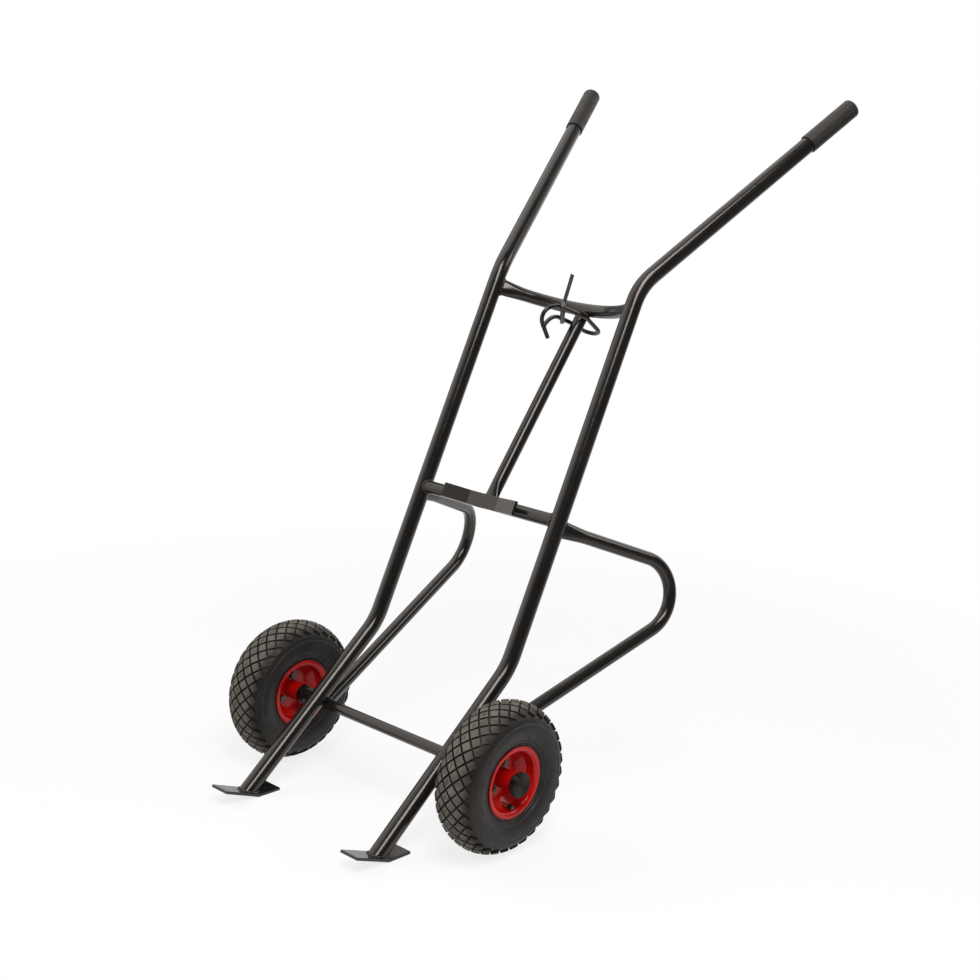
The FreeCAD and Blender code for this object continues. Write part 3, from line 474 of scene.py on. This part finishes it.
def diamond(reach_across, reach_round):
    """A diamond's outline of (across, along) points, with small steps in its sides."""
    corners = ((reach_across, 0), (0, reach_round), (-reach_across, 0), (0, -reach_round))
    points = []
    for index, corner in enumerate(corners):
        ahead = corners[(index + 1) % 4]
        for step in range(SIDE_STEPS):
            share = step / SIDE_STEPS
            inward = 1 - SIDE_STEP_DEPTH * (step % 2)
            points.append(tuple((a + (b - a) * share) * inward for a, b in zip(corner, ahead)))
    return points


def add_sipe(vertices, faces, marks):
    """Gives a block of the crown row its top, round a short slit, and the slit's walls and floor."""
    base = len(vertices)
    half_width, half_length, depth = SIPE
    for height in (0, -depth):
        for across, along in ((1, 1), (-1, 1), (-1, -1), (1, -1)):
            vertices.append(tread_point(0, along * half_length, across * half_width, height))
    for index in range(4):
        ahead = (index + 1) % 4
        quarter = [(index * SIDE_STEPS + step) % (4 * SIDE_STEPS) for step in range(SIDE_STEPS + 1)]
        faces.append((base + index, *reversed(quarter), base + (index + 3) % 4))
        faces.append((base + index, base + ahead, base + 4 + ahead, base + 4 + index))
        marks += [TOP, GROOVE]
    faces.append((base + 4, base + 5, base + 6, base + 7))
    marks.append(GROOVE)


def tread_block(row):
    """One diamond block with a broken top edge: its points, its faces and their materials."""
    middle = row * TREAD_STEP / CROWN_RADIUS
    half_round = math.pi * (CROWN_CENTRE + CROWN_RADIUS * math.cos(middle)) / TREAD_COUNT
    slant = math.hypot(half_round, TREAD_STEP)
    reach_round = half_round - TREAD_GROOVE / 2 * slant / TREAD_STEP
    reach_across = TREAD_STEP - TREAD_GROOVE / 2 * slant / half_round
    vertices = []
    for grow, height in BLOCK_SECTION:
        for across, along in diamond(reach_across + grow, reach_round + grow):
            vertices.append(tread_point(row, along, across, height))
    around = 4 * SIDE_STEPS
    faces = ring_faces(len(BLOCK_SECTION), around)
    marks = [TOP] * around + [GROOVE] * (len(faces) - around)
    if row == 0:
        add_sipe(vertices, faces, marks)
    else:
        faces.append(tuple(range(around)))
        marks.append(TOP)
    return vertices, faces, marks


def tyre(side_name):
    """The carcass and its tread blocks as one piece."""
    vertices, faces = lathe(carcass_outline(), TYRE_STEPS)
    marks = [SIDEWALL] * len(faces)
    for row in TREAD_ROWS:
        block, block_faces, block_marks = tread_block(row)
        for step in range(TREAD_COUNT):
            turn = Matrix.Rotation(-TAU * (step + row % 2 / 2) / TREAD_COUNT, 3, "X")
            joined(vertices, faces, [turn @ v for v in block], block_faces)
            marks += block_marks
    piece(f"{side_name}_tyre_moulded", on_wheel(vertices, SIDES[side_name]), faces, f"{side_name}_wheel",
          TYRE_MATERIALS, marks, (f"{side_name}_tyre",), TYRE_CREASE)


for side in SIDES:
    tyre(side)
    softened(f"{side}_toe_strip", STRIP_BREAK, "frame", "black_paint")
    softened(f"{side}_rim_nuts", FASTENER_BREAK, f"{side}_wheel", "zinc_steel")
    softened(f"{side}_rim_bolts", FASTENER_BREAK, f"{side}_wheel", "zinc_steel")
softened("drum_saddle", SADDLE_BREAK, "frame", "black_paint")
softened("cable_tie", TIE_BREAK, "hook", "black_plastic")


# Welds: rippled beads where the frame's tubes and bars meet; sizes from here to the end of the hook in millimetres

ACROSS = Vector((1, 0, 0))
RAIL_WAY = Vector((0, 0.402, 0.916)).normalized()
RAIL_BACK = Vector((0, RAIL_WAY.z, -RAIL_WAY.y))
RAIL_POINT = Vector((165, -66.488, 509.5))
RAIL_RADIUS = 15
BRACE_RADIUS = 12
AXLE_RADIUS = 10
AXLE_LINE = AXLE / MM
MIDDLE_CROSSBAR = Vector((0, RAIL_POINT.y, RAIL_POINT.z))
CROSSBAR_CREST = Vector((0, 167.572, 848.648))
CROSSBAR_CHORD = Vector((0, 96.1, 880))
BOW_RADIUS = 213.5
BOW_DEPTH = 78
BOW_END = math.radians(46)
CENTRE_WAY = Vector((0, 0.568, 0.823)).normalized()
LOOP_JOIN = Vector((165, -70.658, 500))
LOOP_LEG_WAY = Vector((0.304, 0.8937, -0.330)).normalized()
LOOP_FOOT = Vector((167, AXLE_LINE.y, AXLE_LINE.z))
LOOP_FOOT_WAY = Vector((-0.1867, -0.9056, -0.3808)).normalized()
TOE_POINT = Vector((165, -470.457, 5))
TOE_WAY = Vector((0, 0.752, 0.659)).normalized()
TOE_NORMAL = Vector((0, -TOE_WAY.z, TOE_WAY.y))
STRIP_BEND_Y = -456.457
STRIP_TOP = 5
STRIP_SLOPE = math.tan(math.radians(19.6))
# Half width and half thickness of the flattened tube ends at their joints
BOW_FLAT = (15.4, 6.0)
LOOP_FLAT = (15.5, 5.9)
CENTRE_TOP_FLAT = (13.7, 9.0)
CENTRE_FOOT_FLAT = (15.3, 6.2)
# How far before a joint the rays start that find the surface there
RUN_UP = 40
BOW_RUN_UP = 10
TOE_RUN_UP = 60
HOOK_RUN_UP = 12
# Beads over the axle: how far into it, how far to each side and how long to each end
AXLE_WELD_SINK = 1.5
AXLE_WELD_OFFSET = 7.5
AXLE_WELD_HALF = 9
# Beads behind the saddle: how far before the crossbar, how far up and down and how long to each end
SADDLE_WELD_FRONT = 10.1
SADDLE_WELD_OFFSET = 9.5
SADDLE_WELD_HALF = 30
WELD_RADIUS = 2.4
HOOK_WELD_RADIUS = 1.2
WELD_SPACING = 0.75
WELD_RIPPLE = 3.0
WELD_RIPPLE_DEPTH = 0.13
WELD_SIDES = 8
WELD_CREASE = 80
JOINT_STEPS = 96


def to_rod(on, along, radius):
    """A function: how far a ray goes to a rod's surface, or to where it passes closest."""
    def reach(point, way):
        gap = point - on
        gap = gap - along * gap.dot(along)
        flat = way - along * way.dot(along)
        half = flat.dot(gap)
        rest = half ** 2 - flat.dot(flat) * (gap.dot(gap) - radius ** 2)
        return (-half - math.sqrt(max(rest, 0))) / flat.dot(flat)
    return reach


def to_strip(point, way):
    """How far a ray goes down to the top of the bent toe strip."""
    level = (STRIP_TOP - point.z) / way.z
    raised = (STRIP_TOP + STRIP_SLOPE * (STRIP_BEND_Y - point.y) - point.z) / (way.z + STRIP_SLOPE * way.y)
    return min(level, raised)


def tube_end(centre, way, wide, reaches, surface_from):
    """A closed bead round a tube's oval end, on the surface that it meets."""
    first = (wide - way * wide.dot(way)).normalized()
    points = oval(centre, first, way.cross(first), reaches, JOINT_STEPS)
    return [point + way * surface_from(point, way) for point in points], True, way


def straight_bead(middle, half, outward):
    """An open bead along X."""
    return [middle - ACROSS * half, middle + ACROSS * half], False, outward


def evenly_spaced(points, closed):
    """Points at even distances along a line, those distances and the line's length."""
    line = points + points[:1] if closed else points
    lengths = [0.0]
    for first, second in zip(line, line[1:]):
        lengths.append(lengths[-1] + (second - first).length)
    count = max(4, round(lengths[-1] / WELD_SPACING))
    stations = [lengths[-1] * step / count for step in range(count if closed else count + 1)]
    places = []
    index = 0
    for station in stations:
        while index < len(line) - 2 and lengths[index + 1] < station:
            index += 1
        share = (station - lengths[index]) / (lengths[index + 1] - lengths[index])
        places.append(line[index].lerp(line[index + 1], share))
    return places, stations, lengths[-1]


def bead(points, closed, outward, radius):
    """The mesh of a rippled bead along points."""
    places, stations, length = evenly_spaced(points, closed)
    ripple = length / max(1, round(length / WELD_RIPPLE))
    rings = len(places)
    vertices = []
    for ring, (middle, station) in enumerate(zip(places, stations)):
        behind = places[ring - 1] if ring or closed else middle
        ahead = places[(ring + 1) % rings] if ring < rings - 1 or closed else middle
        along = (ahead - behind).normalized()
        side = (outward - along * outward.dot(along)).normalized()
        thick = radius * (1 + WELD_RIPPLE_DEPTH * math.cos(TAU * station / ripple))
        vertices += oval(middle, side, along.cross(side), (thick, thick), WELD_SIDES)
    faces = ring_faces(rings, WELD_SIDES, closed)
    if not closed:
        faces += end_faces(rings, WELD_SIDES)
    return vertices, faces


def side_welds():
    """The beads on the right side of the frame."""
    rail = to_rod(RAIL_POINT, RAIL_WAY, RAIL_RADIUS)
    axle = to_rod(AXLE_LINE, ACROSS, AXLE_RADIUS)
    bow_rise = BOW_DEPTH - BOW_RADIUS * (1 - math.cos(BOW_END))
    bow_end = CROSSBAR_CHORD + ACROSS * (BOW_RADIUS * math.sin(BOW_END)) + RAIL_BACK * bow_rise
    bow_way = ACROSS * math.cos(BOW_END) - RAIL_BACK * math.sin(BOW_END)
    over_axle = Vector((TOE_POINT.x, AXLE_LINE.y, AXLE_LINE.z)) + TOE_NORMAL * (AXLE_RADIUS - AXLE_WELD_SINK)
    brace = (BRACE_RADIUS, BRACE_RADIUS)
    return [
        tube_end(RAIL_POINT - ACROSS * RUN_UP, ACROSS, RAIL_WAY, brace, rail),
        tube_end(bow_end - bow_way * BOW_RUN_UP, bow_way, RAIL_WAY, BOW_FLAT, rail),
        tube_end(LOOP_JOIN + LOOP_LEG_WAY * RUN_UP, -LOOP_LEG_WAY, RAIL_WAY, LOOP_FLAT, rail),
        tube_end(LOOP_FOOT - LOOP_FOOT_WAY * RUN_UP, LOOP_FOOT_WAY, ACROSS, brace, axle),
        tube_end(TOE_POINT + TOE_WAY * TOE_RUN_UP, -TOE_WAY, ACROSS, (RAIL_RADIUS, RAIL_RADIUS), to_strip),
        straight_bead(over_axle + TOE_WAY * AXLE_WELD_OFFSET, AXLE_WELD_HALF, TOE_NORMAL),
        straight_bead(over_axle - TOE_WAY * AXLE_WELD_OFFSET, AXLE_WELD_HALF, TOE_NORMAL),
    ]


def middle_welds():
    """The beads on the centre tube and behind the drum saddle."""
    crest = to_rod(CROSSBAR_CREST, ACROSS, BRACE_RADIUS)
    middle = to_rod(MIDDLE_CROSSBAR, ACROSS, BRACE_RADIUS)
    seat = MIDDLE_CROSSBAR - RAIL_BACK * SADDLE_WELD_FRONT
    return [
        tube_end(CROSSBAR_CREST - CENTRE_WAY * RUN_UP, CENTRE_WAY, ACROSS, CENTRE_TOP_FLAT, crest),
        tube_end(MIDDLE_CROSSBAR + CENTRE_WAY * RUN_UP, -CENTRE_WAY, ACROSS, CENTRE_FOOT_FLAT, middle),
        straight_bead(seat + RAIL_WAY * SADDLE_WELD_OFFSET, SADDLE_WELD_HALF, RAIL_WAY),
        straight_bead(seat - RAIL_WAY * SADDLE_WELD_OFFSET, SADDLE_WELD_HALF, RAIL_WAY),
    ]


def weld_piece(name, beads, radius, body):
    """All the beads of a body as one piece."""
    vertices = []
    faces = []
    for points, closed, outward in beads:
        bead_vertices, bead_faces = bead(points, closed, outward, radius)
        joined(vertices, faces, [v * MM for v in bead_vertices], bead_faces)
    piece(name, vertices, faces, body, [MATERIALS["black_paint"]], crease=WELD_CREASE)


def mirrored(beads):
    """The same beads on the left side."""
    flip = Matrix.Diagonal((-1, 1, 1))
    return [([flip @ point for point in points], closed, flip @ outward) for points, closed, outward in beads]


right_welds = side_welds()
weld_piece("frame_welds", right_welds + mirrored(right_welds) + middle_welds(), WELD_RADIUS, "frame")


# Hook: one rod, bent round the centre tube, with its end welded on its own front

CENTRE_FRONT = Vector((0, -CENTRE_WAY.z, CENTRE_WAY.y))
HOOK_DROP = 9
HOOK_START = CROSSBAR_CREST - CENTRE_WAY * HOOK_DROP
# The hook's half width, reach and fall
HOOK_SIZES = (16.9, 102, 84)
HOOK_RADIUS = 4
HOOK_SIDES = 24
# How far the rod's end edges are broken, as a share of its radius
HOOK_END_BREAK = 0.15
# How far apart points stand on the rod's straight runs
HOOK_SPACING = 2
# Places along the rod, as shares of the hook's sizes, and the radius of the bend at each
HOOK_SHARES = ((0, 0.565, -1.036), (0.07, 1.12, -0.774), (0.62, 0.853, -0.402), (1, 0.049, -0.106),
               (1, -0.515, -0.101), (-1, -0.515, -0.137), (-1, -0.147, -0.207), (-1, 0.392, -0.399),
               (-0.5, 0.647, -0.571), (0, 0.804, -0.908))
HOOK_BENDS = (0, 20, 40, 40, 16.5, 16.5, 60, 40, 80, 0)


def hook_point(shares):
    """A place on the hook."""
    across, reach, fall = (share * size for share, size in zip(shares, HOOK_SIZES))
    return HOOK_START + ACROSS * across + CENTRE_FRONT * reach + CENTRE_WAY * fall


def straight(start, end):
    """Points from a start, left out, to an end."""
    steps = max(1, round((end - start).length / HOOK_SPACING))
    return [start.lerp(end, step / steps) for step in range(1, steps + 1)]


def bent(corners, bends):
    """Points along straight runs with an arc at each corner, about a millimetre apart on the arcs."""
    points = [corners[0]]
    for before, corner, after, radius in zip(corners, corners[1:], corners[2:], bends[1:]):
        come = (corner - before).normalized()
        leave = (after - corner).normalized()
        turn = come.angle(leave)
        start = corner - come * (radius * math.tan(turn / 2))
        inward = (leave - come * leave.dot(come)).normalized()
        points += straight(points[-1], start)
        steps = max(4, round(radius * turn))
        for step in range(1, steps + 1):
            angle = turn * step / steps
            points.append(start + come * (radius * math.sin(angle)) + inward * (radius * (1 - math.cos(angle))))
    return points + straight(points[-1], corners[-1])


def rod(points, radius, sides):
    """A round rod along points, with broken edges at its ends."""
    ways = [(ahead - behind).normalized()
            for behind, ahead in zip(points[:1] + points, points[1:] + points[-1:])]
    side = ways[0].orthogonal().normalized()
    rings = []
    for point, way in zip(points, ways):
        side = (side - way * side.dot(way)).normalized()
        rings.append((point, way, side, radius))
    broken = HOOK_END_BREAK * radius
    first, last = rings[0], rings[-1]
    rings[0] = (first[0] + first[1] * broken, *first[1:])
    rings[-1] = (last[0] - last[1] * broken, *last[1:])
    rings = [(*first[:3], radius - broken)] + rings + [(*last[:3], radius - broken)]
    vertices = []
    for point, way, side, reach in rings:
        vertices += oval(point, side, way.cross(side), (reach, reach), sides)
    return vertices, ring_faces(len(rings), sides) + end_faces(len(rings), sides)


hook_corners = [hook_point(shares) for shares in HOOK_SHARES]
hook_vertices, hook_faces = rod(bent(hook_corners, HOOK_BENDS), HOOK_RADIUS, HOOK_SIDES)
piece("drum_hook_bent", [v * MM for v in hook_vertices], hook_faces, "hook",
      [MATERIALS["black_paint"]], stands_for=("drum_hook",))
hook_end_way = (hook_corners[-1] - hook_corners[-2]).normalized()
hook_front = to_rod(hook_corners[0], (hook_corners[1] - hook_corners[0]).normalized(), HOOK_RADIUS)
hook_joint = tube_end(hook_corners[-1] - hook_end_way * HOOK_RUN_UP, hook_end_way, ACROSS,
                      (HOOK_RADIUS, HOOK_RADIUS), hook_front)
weld_piece("hook_weld", [hook_joint], HOOK_WELD_RADIUS, "hook")


# Valve caps, ribbed for the fingers

VALVE_DROP = 44 * MM
# Places along the cap and radii there, in millimetres, from the end of its bore over its wall to its tip
CAP_PROFILE = ((30.3, 3.05), (21.3, 3.05), (21.3, 3.6), (21.8, 4.0), (22.6, 4.0), (23.0, 4.0), (30.4, 4.0),
               (30.8, 4.0), (31.6, 3.8), (32.1, 3.3), (32.3, 2.6))
# The places that are ribbed, and how far in the wall is between the ribs, as a share of its radius
CAP_RIBBED = (5, 6)
CAP_RIB_ROOT = 0.9
CAP_RIBS = 20
CAP_RIB_STEPS = 4


def valve_cap(side_name):
    """A turned cap with ribs round its wall."""
    around = CAP_RIBS * CAP_RIB_STEPS
    vertices = []
    for index, (along, radius) in enumerate(CAP_PROFILE):
        for step in range(around):
            angle = TAU * step / around
            between = index in CAP_RIBBED and step % CAP_RIB_STEPS >= CAP_RIB_STEPS / 2
            reach = radius * (CAP_RIB_ROOT if between else 1)
            point = Vector((along, reach * math.sin(angle), reach * math.cos(angle)))
            vertices.append(point * MM - Vector((0, 0, VALVE_DROP)))
    faces = ring_faces(len(CAP_PROFILE), around) + end_faces(len(CAP_PROFILE), around)
    piece(f"{side_name}_valve_cap_ribbed", on_wheel(vertices, SIDES[side_name]), faces, f"{side_name}_wheel",
          [MATERIALS["black_plastic"]], stands_for=(f"{side_name}_valve_cap",))


for side in SIDES:
    valve_cap(side)


# Stage: a pale floor, a white surround and soft lamps

FLOOR_REACH = 12.0
FLOOR_COLOUR = (0.86, 0.86, 0.86, 1)
# The floor glows white in part near the object, where it keeps a soft shadow, and fully further out
FLOOR_GLOW = (0.8, 1.0)
FLOOR_GLOW_ENDS = (0.9, 1.8)
# In gloss its glow fades to a level towards the right
FLOOR_FAR_GLOW = 0.2
FLOOR_FADE = (0.7, 1.5)
# The surround's light on matt surfaces, and its strongest light in gloss
EVEN_LIGHT = 0.4
GLOSS_LIGHT = 1.6
# Light in gloss round the object, by the azimuth in degrees, low down and high up
LOW_SURROUND = ((-180, 1.0), (-160, 1.0), (-145, 0.2), (-100, 0.15), (-86, 1.0), (-42, 1.0), (-5, 0.25),
                (12, 0.02), (138, 0.02), (162, 0.6), (180, 1.0))
HIGH_SURROUND = ((-180, 1.0), (-42, 1.0), (-5, 0.3), (12, 0.05), (138, 0.05), (162, 0.6), (180, 1.0))
# Between which heights, as sines of the elevation, the low one gives way to the high one
UPPER_SURROUND = (0.38, 0.50)
# Lamps round the object's middle: azimuth and elevation in degrees, width, height, watts, shown in gloss
MIDDLE = Vector((0, -0.1, 0.6))
LAMP_DISTANCE = 3.2
LAMPS = {
    "key": (50, 52, 1.2, 2.3, 85, True),
    "fill": (-60, 35, 2.0, 2.0, 35, False),
    "back": (135, 31, 1.3, 1.0, 15, True),
}


def pale_floor():
    """A wide floor that looks white, and keeps a soft shadow near the object."""
    mesh = bpy.data.meshes.new("floor")
    corners = [(x * FLOOR_REACH, y * FLOOR_REACH, 0) for x, y in ((-1, -1), (1, -1), (1, 1), (-1, 1))]
    mesh.from_pydata(corners, [], [(0, 1, 2, 3)])
    floor = bpy.data.objects.new("floor", mesh)
    bpy.context.scene.collection.objects.link(floor)
    material, tree, shader = new_material("floor_white", Base_Color=FLOOR_COLOUR, Roughness=0.9,
                                          Specular_IOR_Level=0.0)
    rays = add(tree, "ShaderNodeLightPath").outputs
    seen = combined(tree, "MAXIMUM", rays["Is Camera Ray"], rays["Is Glossy Ray"])
    seen = combined(tree, "MAXIMUM", seen, rays["Is Transmission Ray"])
    across = add(tree, "ShaderNodeSeparateXYZ")
    tree.links.new(place(tree), across.inputs[0])
    in_gloss = spread(tree, across.outputs["X"], 1.0, FLOOR_FAR_GLOW, FLOOR_FADE)
    glow = add(tree, "ShaderNodeEmission")
    tree.links.new(blended(tree, rays["Is Glossy Ray"], 1.0, in_gloss), glow.inputs["Strength"])
    away = vector_math(tree, "LENGTH", place(tree))["Value"]
    share = combined(tree, "MULTIPLY", seen, spread(tree, away, *FLOOR_GLOW, FLOOR_GLOW_ENDS))
    mix = add(tree, "ShaderNodeMixShader")
    tree.links.new(share, mix.inputs["Fac"])
    tree.links.new(shader.outputs[0], mix.inputs[1])
    tree.links.new(glow.outputs[0], mix.inputs[2])
    tree.links.new(mix.outputs[0], tree.nodes["Material Output"].inputs["Surface"])
    mesh.materials.append(material)


def round_stops(levels):
    """Colour stops from (azimuth in degrees, level) pairs."""
    return [((azimuth + 180) / 360, level) for azimuth, level in levels]


def surround():
    """White to the camera, light on the left and dark on the right in gloss, even on matt surfaces."""
    world = bpy.data.worlds.new("studio")
    bpy.context.scene.world = world
    world.use_nodes = True
    tree = world.node_tree
    background = tree.nodes["Background"]
    background.inputs["Color"].default_value = (1, 1, 1, 1)
    way = add(tree, "ShaderNodeSeparateXYZ")
    tree.links.new(add(tree, "ShaderNodeTexCoord").outputs["Generated"], way.inputs[0])
    front = combined(tree, "MULTIPLY", way.outputs["Y"], -1.0)
    azimuth = combined(tree, "ARCTAN2", way.outputs["X"], front)
    turn = spread(tree, azimuth, 0.0, 1.0, (-math.pi, math.pi))
    upper = spread(tree, way.outputs["Z"], 0.0, 1.0, UPPER_SURROUND)
    low, high = (ramp(tree, turn, round_stops(levels)) for levels in (LOW_SURROUND, HIGH_SURROUND))
    gloss = combined(tree, "MULTIPLY", blended(tree, upper, low, high), GLOSS_LIGHT)
    rays = add(tree, "ShaderNodeLightPath").outputs
    lit = blended(tree, rays["Is Glossy Ray"], EVEN_LIGHT, gloss)
    seen = combined(tree, "MAXIMUM", rays["Is Camera Ray"], rays["Is Transmission Ray"])
    tree.links.new(combined(tree, "MAXIMUM", seen, lit), background.inputs["Strength"])


def direction(azimuth, elevation):
    """A direction, by an azimuth in degrees from the front towards the right and an elevation."""
    turn = math.radians(azimuth)
    rise = math.radians(elevation)
    flat = math.cos(rise)
    return Vector((math.sin(turn) * flat, -math.cos(turn) * flat, math.sin(rise)))


def lamp(name, azimuth, elevation, width, height, power, in_gloss):
    """A soft rectangular lamp that shines at the object's middle, which gloss may or may not show."""
    light = bpy.data.lights.new(name, "AREA")
    light.shape = "RECTANGLE"
    light.size = width
    light.size_y = height
    light.energy = power
    item = bpy.data.objects.new(name, light)
    item.location = MIDDLE + direction(azimuth, elevation) * LAMP_DISTANCE
    item.rotation_euler = (MIDDLE - item.location).to_track_quat("-Z", "Y").to_euler()
    item.visible_camera = False
    item.visible_glossy = in_gloss
    bpy.context.scene.collection.objects.link(item)


pale_floor()
surround()
for lamp_name, settings in LAMPS.items():
    lamp(lamp_name, *settings)


# Camera, fitted to points on the rails, the axle, the loops, the toe strips, the grips and the tyres

# Azimuth and elevation in degrees, roll in radians
CAMERA_AZIMUTH = 41.78
CAMERA_ELEVATION = 12.84
CAMERA_ROLL = math.radians(3.70)
CAMERA_DISTANCE = 2.80302
CAMERA_TARGET = Vector((0.04356, -0.11361, 0.54851))
CAMERA_LENS_MM = 58.587
CAMERA_SENSOR_MM = 36

camera_back = direction(CAMERA_AZIMUTH, CAMERA_ELEVATION)
camera_level = Vector((math.cos(math.radians(CAMERA_AZIMUTH)), math.sin(math.radians(CAMERA_AZIMUTH)), 0))
camera_above = camera_back.cross(camera_level)
camera_right = camera_level * math.cos(CAMERA_ROLL) + camera_above * math.sin(CAMERA_ROLL)
camera_up = camera_above * math.cos(CAMERA_ROLL) - camera_level * math.sin(CAMERA_ROLL)
camera_turn = Matrix((camera_right, camera_up, camera_back)).transposed().to_4x4()
camera_data = bpy.data.cameras.new("camera")
camera_data.lens = CAMERA_LENS_MM
camera_data.sensor_width = CAMERA_SENSOR_MM
camera = bpy.data.objects.new("camera", camera_data)
camera.matrix_world = Matrix.Translation(CAMERA_TARGET + camera_back * CAMERA_DISTANCE) @ camera_turn
bpy.context.scene.collection.objects.link(camera)
bpy.context.scene.camera = camera
bpy.context.scene.view_settings.view_transform = "Standard"

bpy.context.view_layer.update()
